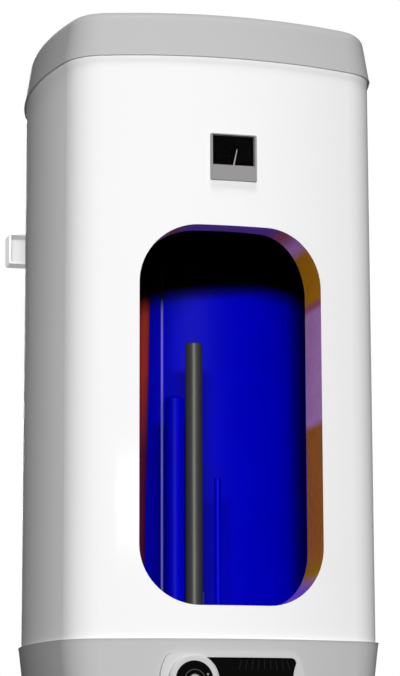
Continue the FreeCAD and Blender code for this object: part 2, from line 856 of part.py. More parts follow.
def tube(name, outer, inner, length, x, y, z):
    pipe = cylinder(name + "_outer", outer, length, x, y, z)
    return cut(name, pipe, [cylinder(name + "_bore", inner, length, x, y, z)])


def make_pipes():
    """Both pipes start as stubs below the cap; the hot one leans from its bend up to the top of the tank."""
    collar_low, low = "(-(cap_depth + collar_thickness))", "(-(cap_depth + stub_below))"
    pipes = []
    for side, x, top in (("hot", "-pipe_spread", "hot_bend"), ("cold", "pipe_spread", "cold_top")):
        stub = cylinder(f"{side}_stub", "stub_radius", f"({collar_low} - {low})", x, "pipe_back", low)
        pipe = cylinder(f"{side}_pipe", "pipe_radius", f"({top} - {low})", x, "pipe_back", low)
        bore = cylinder(f"{side}_bore", PIPE_BORE, f"({top} - {low})", x, "pipe_back", low)
        pipes.append(([stub, pipe], [bore]))
    risers = (("riser", "riser_radius"), ("riser_bore", "riser_radius - pipe_wall"))
    for thing, (name, radius) in zip(pipes[0], risers):
        thing.append(leaning(cylinder(name, radius, HOT_RISE, "-pipe_spread", "pipe_back",
                                      "hot_bend - pipe_wall"), f"atan(hot_drift / {HOT_RISE})"))
    for label, (solids, bores) in zip(("hot_water_pipe", "cold_water_pipe"), pipes):
        finished(label, cut(label, joined(label + "_solid", solids), bores))
    for label, x in (("hot_collar", "-pipe_spread"), ("cold_collar", "pipe_spread")):
        finished(label, tube(label, "pipe_radius + gap + collar_wall", "pipe_radius + gap",
                             "collar_thickness", x, "pipe_back", "-cap_depth - collar_thickness"))
    cup = cylinder("cup", "pipe_radius", "(diffuser_top - cold_top)", "pipe_spread", "pipe_back", "cold_top")
    hollow = cylinder("cup_hollow", PIPE_BORE, "(diffuser_top - cold_top - diffuser_wall)", "pipe_spread",
                      "pipe_back", "cold_top")
    slots = [
        block("slot_across", ("pipe_spread - 2 * pipe_radius", "pipe_spread + 2 * pipe_radius"),
              ("pipe_back - diffuser_slot / 2", "pipe_back + diffuser_slot / 2"),
              ("cold_top + diffuser_slot", "diffuser_top - diffuser_slot")),
        block("slot_along", ("pipe_spread - diffuser_slot / 2", "pipe_spread + diffuser_slot / 2"),
              ("pipe_back - 2 * pipe_radius", "pipe_back + 2 * pipe_radius"),
              ("cold_top + diffuser_slot", "diffuser_top - diffuser_slot")),
    ]
    finished("inlet_diffuser", cut("inlet_diffuser", cup, [hollow, *slots]))


# Electrical pieces in the bottom cap


def make_terminals():
    low_x, low_y = "(terminal_x - terminal_width / 2)", "(terminal_y - terminal_depth / 2)"
    body = block("terminal_body", (low_x, "terminal_x + terminal_width / 2"),
                 (low_y, "terminal_y + terminal_depth / 2"), (FLOOR, f"{FLOOR} + terminal_height"))
    middle = f"({FLOOR} + terminal_height / 2)"
    holes = [cylinder(f"terminal_hole_{i}", "terminal_screw_radius + gap", "terminal_height / 2",
                      f"terminal_x + {i - 1} * terminal_pitch", "terminal_y", middle) for i in range(3)]
    finished("terminal_block", cut("terminal_block", body, holes))
    screws = [cylinder(f"terminal_screw_{i}", "terminal_screw_radius", "terminal_height / 2 - gap",
                       f"terminal_x + {i - 1} * terminal_pitch", "terminal_y", middle) for i in range(3)]
    finished("terminal_screws", group("terminal_screws", screws))


def make_gland():
    low = "(-cap_depth)"
    gland = turned("gland_body", [
        ("gland_bore", f"{low} - gland_nose"), ("gland_radius - gap", f"{low} - gland_nose"),
        ("gland_radius", f"{low} - gland_flange_thickness"),
        ("gland_flange", f"{low} - gland_flange_thickness"),
        ("gland_flange", low), ("gland_radius", low), ("gland_radius", f"{FLOOR} + gland_nut_height"),
        ("gland_bore", f"{FLOOR} + gland_nut_height")])
    finished("cable_gland", place(gland, "gland_x", "gland_y"))
    finished("gland_nut", tube("gland_nut", "gland_flange", "gland_radius + pin_gap", "gland_nut_height",
                               "gland_x", "gland_y", FLOOR))


def make_power_board():
    low = f"({FLOOR} + board_lift)"
    top = f"({low} + board_thickness)"
    pillars = [cylinder(f"pillar_{i}", "pillar_radius", "board_lift", x, y, FLOOR) for i, (x, y) in enumerate(
        (x, y) for x in ("board_x + pillar_inset", "board_x + board_width - pillar_inset")
        for y in ("board_y + pillar_inset", "board_y + board_depth - pillar_inset"))]
    finished("board_pillars", group("board_pillars", pillars))
    finished("power_board", block("power_board", ("board_x", "board_x + board_width"),
                                  ("board_y", "board_y + board_depth"), (low, top)))
    row = "(board_y + pillar_inset * 2)"
    parts = [
        block("relay", ("board_x + pillar_inset * 2", "board_x + pillar_inset * 2 + relay_width"),
              (row, f"{row} + relay_depth"), (top, f"{top} + relay_height")),
        block("supply", ("board_x + board_width / 2", "board_x + board_width / 2 + supply_size"),
              (row, f"{row} + supply_size"), (top, f"{top} + supply_height")),
        block("plug", ("board_x + pillar_inset * 2", "board_x + pillar_inset * 2 + plug_width"),
              ("board_y + board_depth - plug_depth", "board_y + board_depth"), (top, f"{top} + plug_height")),
    ]
    finished("board_parts", group("board_parts", parts))


# Control panel


def panel_prism(name, spread, lift, length):
    """The control panel's outline, barrel sided with round corners, run along Y."""
    side, height = f"(panel_half_width + ({spread}))", f"(panel_half_height + ({spread}))"
    side_arc = f"(({height}^2 + panel_belly^2) / (2 * panel_belly))"
    low, high = f"(panel_middle - {height})", f"(panel_middle + {height})"
    left, right = f"(panel_x - {side})", f"(panel_x + {side})"
    body = padded(name, lambda sketch: outline(sketch, [
        (left, low), (right, low, side_arc, 1), (right, high), (left, high, side_arc, 1),
    ]), length, "XZ_Plane", lift)
    doc.recompute()
    along = [f"Edge{i}" for i, edge in enumerate(body.Shape.Edges, start=1)
             if abs(edge.Vertexes[0].Point.x - edge.Vertexes[-1].Point.x) < 1e-6
             and abs(edge.Vertexes[0].Point.z - edge.Vertexes[-1].Point.z) < 1e-6]
    pad_feature = body.Tip
    fillet = body.newObject("PartDesign::Fillet", name + "_corners")
    fillet.Base = (pad_feature, along)
    bind(fillet, "Radius", f"(panel_corner + ({spread}))")
    return body


def front_band(name, proud, thickness):
    """A slab that follows the body's bowed front, over the height of the control panel."""
    half = "(abs(panel_x) + panel_half_width + panel_belly * 2)"
    centre = f"({FRONT_ARC} - half_depth)"
    outer = f"({FRONT_ARC} + {proud})"
    inner = f"({outer} - {thickness})"
    outer_y = f"({centre} - sqrt({outer}^2 - {half}^2))"
    inner_y = f"({centre} - sqrt({inner}^2 - {half}^2))"
    return padded(name, lambda sketch: outline(sketch, [
        (f"-{half}", outer_y, outer, 1), (half, outer_y), (half, inner_y, inner, -1), (f"-{half}", inner_y),
    ]), "(panel_half_height * 4)", lift="(panel_middle - panel_half_height * 2)")


def display_prism(name, play):
    """The display window's outline: its left side runs round the knob."""
    reach = f"(display_left - {play})"
    height = f"(display_top + {play})"
    right = f"(display_right + {play})"
    start = f"(knob_x + sqrt({reach}^2 - {height}^2))"
    bow = f"((({height} - display_corner)^2 + display_narrow^2) / (2 * display_narrow))"
    low, high = f"(panel_middle - {height})", f"(panel_middle + {height})"
    return padded(name, lambda sketch: outline(sketch, [
        (start, low), (f"{right} - display_corner", low, "display_corner", 1),
        (right, f"{low} + display_corner", bow, -1),
        (right, f"{high} - display_corner", "display_corner", 1),
        (f"{right} - display_corner", high), (start, high, reach, -1),
    ]), FAR, "XZ_Plane", "(half_depth - corner_radius / 2)")


def make_panel():
    plate = common("bezel_block", panel_prism("bezel_prism", "0", "(half_depth - corner_radius / 2)", FAR),
                   front_band("bezel_band", "panel_proud", "(panel_thickness + skirt_depth)"))
    behind = common("bezel_hollow",
                    panel_prism("hollow_prism", "-skirt_wall", "(half_depth - corner_radius / 2)", FAR),
                    front_band("hollow_band", "(panel_proud - panel_thickness)", "(2 * skirt_depth)"))
    plate = cut("bezel_plate", plate, [behind])
    ring = turned("knob_ring", [
        ("0", "half_depth - panel_thickness"), ("ring_outer", "half_depth - panel_thickness"),
        ("ring_outer", f"{RING_FACE} - ring_bevel"), ("ring_outer - ring_bevel", RING_FACE), ("0", RING_FACE),
    ], "front")
    board_face = "(circuit_back + board_thickness)"
    stud_length = f"(half_depth - panel_thickness / 2 - {board_face})"
    studs = [cylinder(f"circuit_pillar_{i}", "circuit_pillar", stud_length, x, f"-{board_face}",
                      f"panel_middle + {z}", "front")
             for i, (x, z) in enumerate(corners_of("circuit_pillar_x", "circuit_pillar_z"))]
    solid = joined("bezel_solid", [plate, place(ring, "knob_x", "0", "panel_middle"), *studs])
    recess = common("display_recess", display_prism("recess_prism", "gap"),
                    front_band("recess_band", "panel_proud + panel_thickness",
                               "(panel_thickness + display_sunk + lens_thickness + gap)"))
    opening = block("lcd_opening", ("lcd_low_x", "lcd_high_x"), (f"-{PANEL_FACE}", "-circuit_back"),
                    ("panel_middle - lcd_half_height", "panel_middle + lcd_half_height"))
    seat = f"({KNOB_FACE} - knob_height - gap)"
    recess_knob = cylinder("knob_recess", "knob_radius + 2 * gap", "knob_height", "knob_x", f"-{seat}",
                           "panel_middle", "front")
    spindle_way = cylinder("spindle_way", "spindle_radius + gap", PANEL_FACE, "knob_x", "0", "panel_middle",
                           "front")
    finished("control_bezel", cut("control_bezel", solid, [recess, opening, recess_knob, spindle_way]))
    lens = common("display_lens", display_prism("lens_prism", "0"),
                  front_band("lens_band", "(panel_proud - display_sunk)", "lens_thickness"))
    finished("display_lens", lens)
    lens_back = f"({FRONT_ARC} + panel_proud - display_sunk - lens_thickness)"
    lcd_face = f"(sqrt({lens_back}^2 - lcd_high_x^2) - {FRONT_ARC} + half_depth - gap)"
    finished("lcd_module", block(
        "lcd_module", ("lcd_low_x + gap", "lcd_high_x - gap"), (f"-{lcd_face}", f"-{board_face}"),
        ("panel_middle - lcd_half_height + gap", "panel_middle + lcd_half_height - gap")))


def make_knob():
    back = f"({KNOB_FACE} - knob_height)"
    floor = f"({back} + knob_floor)"
    well = "(button_radius + gap)"
    knob = turned("control_knob", [
        ("0", back), ("knob_radius", back), ("knob_radius", f"{KNOB_FACE} - knob_bevel"),
        ("knob_radius - knob_bevel", KNOB_FACE), (well, KNOB_FACE), (well, floor), ("0", floor)], "front")
    finished("control_knob", place(knob, "knob_x", "0", "panel_middle"))
    finished("knob_spindle", cylinder("knob_spindle", "spindle_radius", "spindle_reach", "knob_x",
                                      f"-({back} - spindle_reach)", "panel_middle", "front"))
    face = f"({KNOB_FACE} + button_proud)"
    edge = "(button_proud / 2)"
    button = turned("knob_button", [
        ("0", f"{face} - button_height"), ("button_radius", f"{face} - button_height"),
        ("button_radius", f"{face} - {edge}"), (f"button_radius - {edge}", face), ("0", face)], "front")
    finished("knob_button", place(button, "knob_x", "0", "panel_middle"))
    board_face = "(circuit_back + board_thickness)"
    box_face = f"({board_face} + encoder_depth)"
    half = "(encoder_size / 2)"
    box = block("encoder_box", (f"knob_x - {half}", f"knob_x + {half}"), (f"-{box_face}", f"-{board_face}"),
                (f"panel_middle - {half}", f"panel_middle + {half}"))
    bush = cylinder("encoder_bush", "spindle_radius + bush_wall", "encoder_bush", "knob_x", f"-{box_face}",
                    "panel_middle", "front")
    tip = f"({back} - spindle_reach - gap)"
    bore = cylinder("encoder_bore", "spindle_radius + pin_gap", "spindle_reach", "knob_x", f"-{tip}",
                    "panel_middle", "front")
    finished("encoder", cut("encoder", joined("encoder_solid", [box, bush]), [bore]))
    finished("display_board", block(
        "display_board", ("circuit_x - circuit_width / 2", "circuit_x + circuit_width / 2"),
        (f"-{board_face}", "-circuit_back"),
        ("panel_middle - circuit_height / 2", "panel_middle + circuit_height / 2")))


# Thermometer


def make_thermometer():
    flange = padded("dial_flange", lambda sketch: rounded(
        sketch, "-dial_width / 2", "dial_width / 2", "(dial_middle - dial_height / 2)",
        "(dial_middle + dial_height / 2)", "dial_corner"), "dial_proud - gap", "XZ_Plane", "half_depth + gap")
    rear = "(half_depth - case_depth)"
    body = block("dial_body", ("-case_width / 2", "case_width / 2"), ("-(half_depth + gap)", f"-{rear}"),
                 ("dial_middle - case_height / 2", "dial_middle + case_height / 2"))
    view_back = f"({CASE_FACE} - view_depth)"
    view = block("dial_view", ("-view_width / 2", "view_width / 2"), (f"-{CASE_FACE}", f"-{view_back}"),
                 ("dial_middle + view_low", "dial_middle + view_high"))
    cavity_back = f"({rear} + case_floor)"
    cavity = block("dial_cavity", ("-cavity_width / 2", "cavity_width / 2"),
                   (f"-{view_back}", f"-{cavity_back}"),
                   ("dial_middle + cavity_low", "dial_middle + cavity_high"))
    solid = joined("dial_solid", [flange, body])
    finished("thermometer_case", cut("thermometer_case", solid, [view, cavity]))
    pivot_z = "(dial_middle + needle_z)"
    plate_face = f"({view_back} + plate_face)"
    sides = ("-view_width / 2 + gap", "view_width / 2 - gap")
    heights = ("dial_middle + view_low + gap", "dial_middle + view_high - gap")
    plate = block("dial_plate", sides, (f"-{plate_face}", f"-{view_back}"), heights)
    eye = cylinder("dial_eye", "pin_radius + gap", "case_depth", "needle_x", f"-{cavity_back}", pivot_z,
                   "front")
    finished("thermometer_dial", cut("thermometer_dial", plate, [eye]))
    movement = cylinder("movement", "movement_radius", f"({view_back} - gap - {cavity_back})", "needle_x",
                        f"-{cavity_back}", pivot_z, "front")
    pin_end = f"({plate_face} + gap - pin_length)"
    bore = cylinder("movement_bore", "pin_radius + pin_gap", "case_depth", "needle_x", f"-({pin_end} - gap)",
                    pivot_z, "front")
    finished("thermometer_movement", cut("thermometer_movement", movement, [bore]))
    glass_face = f"({CASE_FACE} - glass_sunk)"
    finished("thermometer_glass", block(
        "thermometer_glass", sides, (f"-{glass_face}", f"-({glass_face} - glass_thickness)"), heights))
    finished("thermometer_strip", block(
        "thermometer_strip", ("-view_width / 2", "view_width / 2"), (f"-({CASE_FACE} + strip_thickness)",
                                                                     f"-{CASE_FACE}"),
        ("dial_middle + strip_middle - strip_height / 2", "dial_middle + strip_middle + strip_height / 2")))
    make_needle(plate_face, pin_end, pivot_z)
    bulb_y = f"-({TANK_OUTER} + gap + bulb_radius)"
    bulb = cylinder("bulb", "bulb_radius", "bulb_length", "0", bulb_y, "dial_middle - bulb_length / 2")
    capillary = cylinder("capillary", "capillary_radius", f"({rear} - {TANK_OUTER} - gap - bulb_radius)", "0",
                         bulb_y, "dial_middle", "front")
    finished("thermometer_bulb", joined("thermometer_bulb", [bulb, capillary]))


def make_needle(plate_face, pin_end, pivot_z):
    """The needle with its hub and pin, leaning to the right of upright at rest."""
    needle = leaning(new_body("thermometer_needle"), f"{NEEDLE_LEAN} deg")
    behind = f"({plate_face} + gap)"
    blade = new_sketch(needle, "XZ_Plane", f"{behind} + needle_lift - needle_plate")
    outline(blade, [("-needle_width / 2", "-needle_tail"), ("needle_width / 2", "-needle_tail"),
                    ("needle_width / 4", "needle_length"), ("-needle_width / 4", "needle_length")])
    pad(needle, blade, "needle_plate")
    round_parts = ((behind, "hub_radius", "needle_lift"), (pin_end, "pin_radius", "pin_length"))
    for lift, radius, length in round_parts:
        round_part = new_sketch(needle, "XZ_Plane", lift)
        circle(round_part, radius)
        pad(needle, round_part, length)
    finished("thermometer_needle", place(needle, "needle_x", "0", pivot_z))


# Wall fixings


def make_bracket(tank, hangers):
    body = new_body("bracket_tray")
    middle = "(bolts_above_seam + bracket_rise)"
    low, high = f"({middle} - bracket_height / 2)", f"({middle} + bracket_height / 2)"
    outer = new_sketch(body, "XZ_Plane", f"-{WALL_FACE}")
    rounded(outer, "-bracket_half_length", "bracket_half_length", low, high, "bracket_corner")
    pad(body, outer, "wall_gap - bracket_stand_off")
    inner = new_sketch(body, "XZ_Plane", "-(half_depth + bracket_stand_off)")
    rounded(inner, "-(bracket_half_length - bracket_sheet)", "(bracket_half_length - bracket_sheet)",
            f"({low} + bracket_sheet)", f"({high} - bracket_sheet)", "(bracket_corner - bracket_sheet)")
    pocket(body, inner, "wall_gap - bracket_stand_off - bracket_sheet")
    holes = [cylinder(f"wall_bolt_hole_{i}", "wall_bolt_radius", WALL_FACE,
                      f"{sign}(bracket_half_length - wall_bolt_inset)", "0", "bolts_above_seam", "back")
             for i, sign in enumerate(("-", ""))]
    finished("wall_bracket", cut("wall_bracket", place(body), holes))
    finished("hanger_bosses", group("hanger_bosses", [cut(f"hanger_boss_{i}", rod, [tank])
                                                      for i, rod in enumerate(hangers)]))


def make_spacers():
    """Two feet that hold the lower back of the jacket off the wall."""
    skin = padded("jacket_form", lambda sketch: plan(sketch, "-gap"), "jacket_height")
    rods = [cylinder(f"spacer_rod_{i}", "spacer_radius", WALL_FACE, f"{sign}spacer_spread", "0",
                     "spacer_height", "back") for i, sign in enumerate(("-", ""))]
    feet = [cut(f"spacer_{i}", rod, [skin]) for i, rod in enumerate(rods)]
    finished("wall_spacers", group("wall_spacers", feet))


def check_and_write():
    """Stops if anything in the document failed, then writes each piece to its own file."""
    doc.recompute()
    failed = [item.Name for item in doc.Objects if {"Invalid", "Error"} & set(item.State)]
    if failed:
        raise RuntimeError(f"failed objects: {failed}")
    os.makedirs("parts", exist_ok=True)
    for piece in pieces:
        shape = piece.Shape
        if shape.isNull() or not shape.isValid() or not shape.Solids:
            raise RuntimeError(f"{piece.Label}: no valid solid")
    for piece in pieces:
        piece.Shape.exportStep(f"parts/{piece.Label}.step")
        print(piece.Label, len(piece.Shape.Solids), round(piece.Shape.Volume))


def main():
    fill_sheet()
    window, tank, dial, bulb = window_form(), tank_form(), dial_pocket(), bulb_pocket()
    hanger_holes = hanger_rods("hanger_hole", "(hanger_radius + gap)")
    make_jacket(window, dial, hanger_holes)
    make_foam(window, tank, dial, bulb, hanger_holes)
    make_lid()
    make_cap()
    make_base_plate()
    make_tank(window)
    make_flange()
    make_heater()
    make_anode()
    make_probes()
    make_pipes()
    make_terminals()
    make_gland()
    make_power_board()
    make_panel()
    make_knob()
    make_thermometer()
    make_bracket(tank, hanger_rods("hanger_rod", "hanger_radius"))
    make_spacers()
    check_and_write()


main()
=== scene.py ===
"""Finishes, trim, light and camera for a wall-hung storage water heater that is cut away at the front.

X runs to the right seen from the front, Y into the wall and Z up, in metres. The origin lies midway between
the two wall bolts, on the wall.
"""

import json
import logging
import math
from collections.abc import Iterator
from contextlib import contextmanager
from dataclasses import dataclass, field
from enum import Enum
from typing import Any

import bpy
from mathutils import Matrix, Vector

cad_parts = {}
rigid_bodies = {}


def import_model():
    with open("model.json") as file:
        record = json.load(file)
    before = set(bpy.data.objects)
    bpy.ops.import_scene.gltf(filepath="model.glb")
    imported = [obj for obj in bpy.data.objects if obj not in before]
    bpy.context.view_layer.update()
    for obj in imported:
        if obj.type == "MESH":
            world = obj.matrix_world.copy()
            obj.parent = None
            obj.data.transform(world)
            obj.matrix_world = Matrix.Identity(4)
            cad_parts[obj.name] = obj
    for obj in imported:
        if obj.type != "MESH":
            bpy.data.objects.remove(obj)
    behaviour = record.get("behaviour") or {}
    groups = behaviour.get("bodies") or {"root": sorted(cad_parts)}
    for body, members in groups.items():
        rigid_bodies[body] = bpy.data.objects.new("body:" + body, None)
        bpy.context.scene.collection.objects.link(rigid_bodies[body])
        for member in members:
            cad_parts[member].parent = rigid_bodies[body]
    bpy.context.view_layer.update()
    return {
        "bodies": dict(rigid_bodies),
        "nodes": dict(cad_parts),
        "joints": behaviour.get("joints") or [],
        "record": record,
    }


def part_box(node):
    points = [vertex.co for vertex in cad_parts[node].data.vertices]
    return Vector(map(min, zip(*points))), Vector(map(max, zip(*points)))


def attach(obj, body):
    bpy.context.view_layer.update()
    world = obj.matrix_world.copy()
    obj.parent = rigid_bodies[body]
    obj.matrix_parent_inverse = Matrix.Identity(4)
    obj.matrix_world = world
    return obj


Colour = tuple[float, float, float]
Stops = tuple[tuple[float, Colour], ...]

LOG = logging.getLogger("water_heater")
MM = 0.001

# The seam between jacket and bottom cap, in metres from the wall bolts.
SEAM_LEVEL = -0.664

# The curve of screen colours: straight up to its knee, and a power above it.
CURVE_KNEE, CURVE_SLOPE, CURVE_LIFT, CURVE_POWER = 0.04045, 12.92, 0.055, 2.4

BRIGHTEST = 0.98
# The black of painted shade, on the tops of the tank, the hot pipe and the sensor tube, and on the dark sides
# of the tank and the heater pocket.
SHADE_BLACK: Colour = (0.001, 0.001, 0.002)

# Layers in the slow drift of a colour, and in the fine grain of a surface.
DRIFT_DETAIL, GRAIN_DETAIL = 3.0, 2.0

# Points of a new piece, and of a node's copy, that lie nearer than this are one point.
MERGE, COPY_MERGE = 0.005 * MM, 0.01 * MM

# Steps in a rounded edge, and the angles in degrees up to which edged and round pieces are shaded smooth.
ROUND_STEPS, EDGE_ANGLE, ROUND_ANGLE = 3, 35, 60

# A quarter turn about X, which turns a flat piece to the front.
FACING_FRONT = (math.pi / 2, 0, 0)


def srgb(red: float, green: float, blue: float) -> Colour:
    """Turns a colour as seen on a screen into the linear values that shaders take.

    Args:
        red: Red, from 0 to 255.
        green: Green, from 0 to 255.
        blue: Blue, from 0 to 255.

    Returns:
        The linear colour.
    """
    shares = (red / 255, green / 255, blue / 255)
    return tuple(share / CURVE_SLOPE if share <= CURVE_KNEE
                 else ((share + CURVE_LIFT) / (1 + CURVE_LIFT)) ** CURVE_POWER for share in shares)


def grey(level: float) -> Colour:
    """The linear value of a neutral colour, given from 0 to 255."""
    return srgb(level, level, level)


def scaled(colour: Colour, factor: float) -> Colour:
    """A lighter or darker version of a colour, held below full white."""
    return tuple(min(BRIGHTEST, part * factor) for part in colour)


class Body(Enum):
    """The bodies that carry new pieces."""

    HEATER = "heater"
    KNOB = "knob"
    BUTTON = "push_button"


class Graph:
    """A material's node tree, with short ways to add and join its nodes."""

    def __init__(self, material: bpy.types.Material) -> None:
        """Starts from the material's own shader.

        Args:
            material: The material whose nodes are built.
        """
        material.use_nodes = True
        self.tree = material.node_tree
        self.shader = self.tree.nodes["Principled BSDF"]
        self.place = self.add("ShaderNodeTexCoord").outputs["Object"]

    def add(self, kind: str, **settings: object) -> bpy.types.Node:
        """Adds a node.

        Args:
            kind: The node's type name.
            **settings: Attributes to set on it.

        Returns:
            The new node.
        """
        node = self.tree.nodes.new(kind)
        for name, value in settings.items():
            setattr(node, name, value)
        return node

    def join(self, source: bpy.types.NodeSocket, target: bpy.types.NodeSocket) -> None:
        """Links two sockets."""
        self.tree.links.new(source, target)

    def stretched(self, scale: tuple[float, float, float]) -> bpy.types.NodeSocket:
        """The piece's own coordinates, scaled apart along each axis.

        Args:
            scale: The factor along X, Y and Z.

        Returns:
            The scaled coordinates.
        """
        mapping = self.add("ShaderNodeMapping")
        mapping.inputs["Scale"].default_value = scale
        self.join(self.place, mapping.inputs["Vector"])
        return mapping.outputs["Vector"]

    def noise(self, scale: float, detail: float = GRAIN_DETAIL,
              place: bpy.types.NodeSocket | None = None) -> bpy.types.NodeSocket:
        """A cloud pattern.

        Args:
            scale: Patches per metre.
            detail: How many finer layers it has.
            place: The coordinates that it follows, or None for the piece's own.

        Returns:
            The pattern's value, from 0 to 1.
        """
        pattern = self.add("ShaderNodeTexNoise")
        pattern.inputs["Scale"].default_value = scale
        pattern.inputs["Detail"].default_value = detail
        self.join(place or self.place, pattern.inputs["Vector"])
        return pattern.outputs["Fac"]

    def axis(self, name: str) -> bpy.types.NodeSocket:
        """One of the piece's own coordinates.

        Args:
            name: X, Y or Z.

        Returns:
            The coordinate, in metres.
        """
        split = self.add("ShaderNodeSeparateXYZ")
        self.join(self.place, split.inputs["Vector"])
        return split.outputs[name]

    def spread(self, value: bpy.types.NodeSocket, low: float, high: float) -> bpy.types.NodeSocket:
        """A value's place between two ends.

        Args:
            value: The value.
            low: The end that counts as 0.
            high: The end that counts as 1.

        Returns:
            The place, from 0 to 1.
        """
        node = self.add("ShaderNodeMapRange")
        node.inputs["From Min"].default_value = low
        node.inputs["From Max"].default_value = high
        self.join(value, node.inputs["Value"])
        return node.outputs["Result"]

    def reckon(self, operation: str, *values: object) -> bpy.types.NodeSocket:
        """A sum or product of values.

        Args:
            operation: The kind of sum.
            *values: Numbers or sockets.

        Returns:
            The result.
        """
        node = self.add("ShaderNodeMath", operation=operation)
        for socket, value in zip(node.inputs, values):
            if isinstance(value, bpy.types.NodeSocket):
                self.join(value, socket)
            else:
                socket.default_value = value
        return node.outputs["Value"]

    def arched_level(self, arch: float, crown: tuple[float, float]) -> bpy.types.NodeSocket:
        """The height, counted higher away from a crown, so that a change of colour bends down there.

        Args:
            arch: How much higher it counts, in metres at one metre from the crown.
            crown: The crown's X and Y.

        Returns:
            The height in metres.
        """
        level = self.axis("Z")
        for name, middle in zip("XY", crown):
            off = self.reckon("SUBTRACT", self.axis(name), middle)
            rise = self.reckon("MULTIPLY", self.reckon("MULTIPLY", off, off), arch)
            level = self.reckon("ADD", level, rise)
        return level

    def blend(self, share: object, low: object, high: object, mode: str = "MIX") -> bpy.types.NodeSocket:
        """Mixes two colours.

        Args:
            share: The factor that leads from low to high, as a number or a socket.
            low: The first colour, as a colour or a socket.
            high: The second colour, as a colour or a socket.
            mode: How the two are blended.

        Returns:
            The mixed colour.
        """
        node = self.add("ShaderNodeMix", data_type="RGBA", blend_type=mode)
        if isinstance(share, bpy.types.NodeSocket):
            self.join(share, node.inputs["Factor"])
        else:
            node.inputs["Factor"].default_value = share
        for end, colour in (("A", low), ("B", high)):
            socket = next(s for s in node.inputs if s.name == end and s.type == "RGBA")
            if isinstance(colour, bpy.types.NodeSocket):
                self.join(colour, socket)
            else:
                socket.default_value = (*colour, 1.0)
        return next(s for s in node.outputs if s.type == "RGBA")

    def ramp(self, share: bpy.types.NodeSocket, stops: list[tuple[float, Colour]]) -> bpy.types.NodeSocket:
        """A run of colours.

        Args:
            share: The place along the run, from 0 to 1.
            stops: Each place with its colour, in order.

        Returns:
            The colour at that place.
        """
        node = self.add("ShaderNodeValToRGB")
        elements = node.color_ramp.elements
        while len(elements) < len(stops):
            elements.new(0.5)
        for element, (position, colour) in zip(elements, stops):
            element.position = position
            element.color = (*colour, 1.0)
        self.join(share, node.inputs["Fac"])
        return node.outputs["Color"]

    def bump(self, height: bpy.types.NodeSocket, depth: float) -> None:
        """Lets a pattern stand out of the surface.

        Args:
            height: The pattern.
            depth: How far its highest points stand above its lowest, in metres.
        """
        node = self.add("ShaderNodeBump")
        node.inputs["Distance"].default_value = depth
        self.join(height, node.inputs["Height"])
        self.join(node.outputs["Normal"], self.shader.inputs["Normal"])


@dataclass(frozen=True)
class Finish:
    """A moulded, painted or cast surface with a slow drift of colour and a fine grain.

    Attributes:
        name: The material's name.
        colour: Its linear colour.
        roughness: How dull it is, from 0 to 1.
        metallic: How far it is bare metal, from 0 to 1.
        specular: How strongly it shines.
        drift: How far its colour drifts either way, as a share of it.
        drift_scale: Patches of that drift per metre.
        grain: How far its relief stands out, in metres.
        grain_scale: Patches of that relief per metre.
    """

    name: str
    colour: Colour
    roughness: float = 0.45
    metallic: float = 0.0
    specular: float = 0.3
    drift: float = 0.03
    drift_scale: float = 9.0
    grain: float = 0.00002
    grain_scale: float = 700.0

    def build(self) -> bpy.types.Material:
        """Builds the material.

        Returns:
            The new material.
        """
        material = bpy.data.materials.new(self.name)
        graph = Graph(material)
        sockets = graph.shader.inputs
        sockets["Roughness"].default_value = self.roughness
        sockets["Metallic"].default_value = self.metallic
        sockets["Specular IOR Level"].default_value = self.specular
        graph.join(self.shade(graph), sockets["Base Color"])
        graph.bump(self.relief(graph), self.grain)
        self.finish_off(graph)
        return material

    def shade(self, graph: Graph) -> bpy.types.NodeSocket:
        """The colour over the surface."""
        patches = graph.noise(self.drift_scale, DRIFT_DETAIL)
        return graph.blend(patches, scaled(self.colour, 1 - self.drift), scaled(self.colour, 1 + self.drift))

    def relief(self, graph: Graph) -> bpy.types.NodeSocket:
        """The pattern that stands out of the surface."""
        return graph.noise(self.grain_scale)

    def finish_off(self, graph: Graph) -> None:
        """Sets what only some finishes have."""


@dataclass(frozen=True)
class CoatedFinish(Finish):
    """A surface under a clear, smooth coat.

    Attributes:
        coat: How strongly the coat shines, from 0 to 1.
        coat_roughness: How dull the coat is, from 0 to 1.
    """

    coat: float = 0.5
    coat_roughness: float = 0.08

    def finish_off(self, graph: Graph) -> None:
        """Adds the coat."""
        graph.shader.inputs["Coat Weight"].default_value = self.coat
        graph.shader.inputs["Coat Roughness"].default_value = self.coat_roughness


@dataclass(frozen=True)
class BrushedFinish(Finish):
    """Bare metal with long fine scratches along Z.

    Attributes:
        scratch: How close the scratches lie along X, Y and Z.
        streak_width: How many scratches wide a streak of colour is.
        streak_depth: How many drifts darker it gets.
    """

    metallic: float = 1.0
    scratch: tuple[float, float, float] = (1.0, 1.0, 0.03)
    streak_width: float = 4.0
    streak_depth: float = 3.0

    def shade(self, graph: Graph) -> bpy.types.NodeSocket:
        """The metal's colour, streaked along the scratches.

        Args:
            graph: The material's node tree.

        Returns:
            The colour.
        """
        scale = self.grain_scale / self.streak_width
        streaks = graph.noise(scale, DRIFT_DETAIL, graph.stretched(self.scratch))
        dark = scaled(self.colour, 1 - self.drift * self.streak_depth)
        return graph.blend(streaks, dark, scaled(self.colour, 1 + self.drift))

    def relief(self, graph: Graph) -> bpy.types.NodeSocket:
        """The scratches."""
        return graph.noise(self.grain_scale, place=graph.stretched(self.scratch))
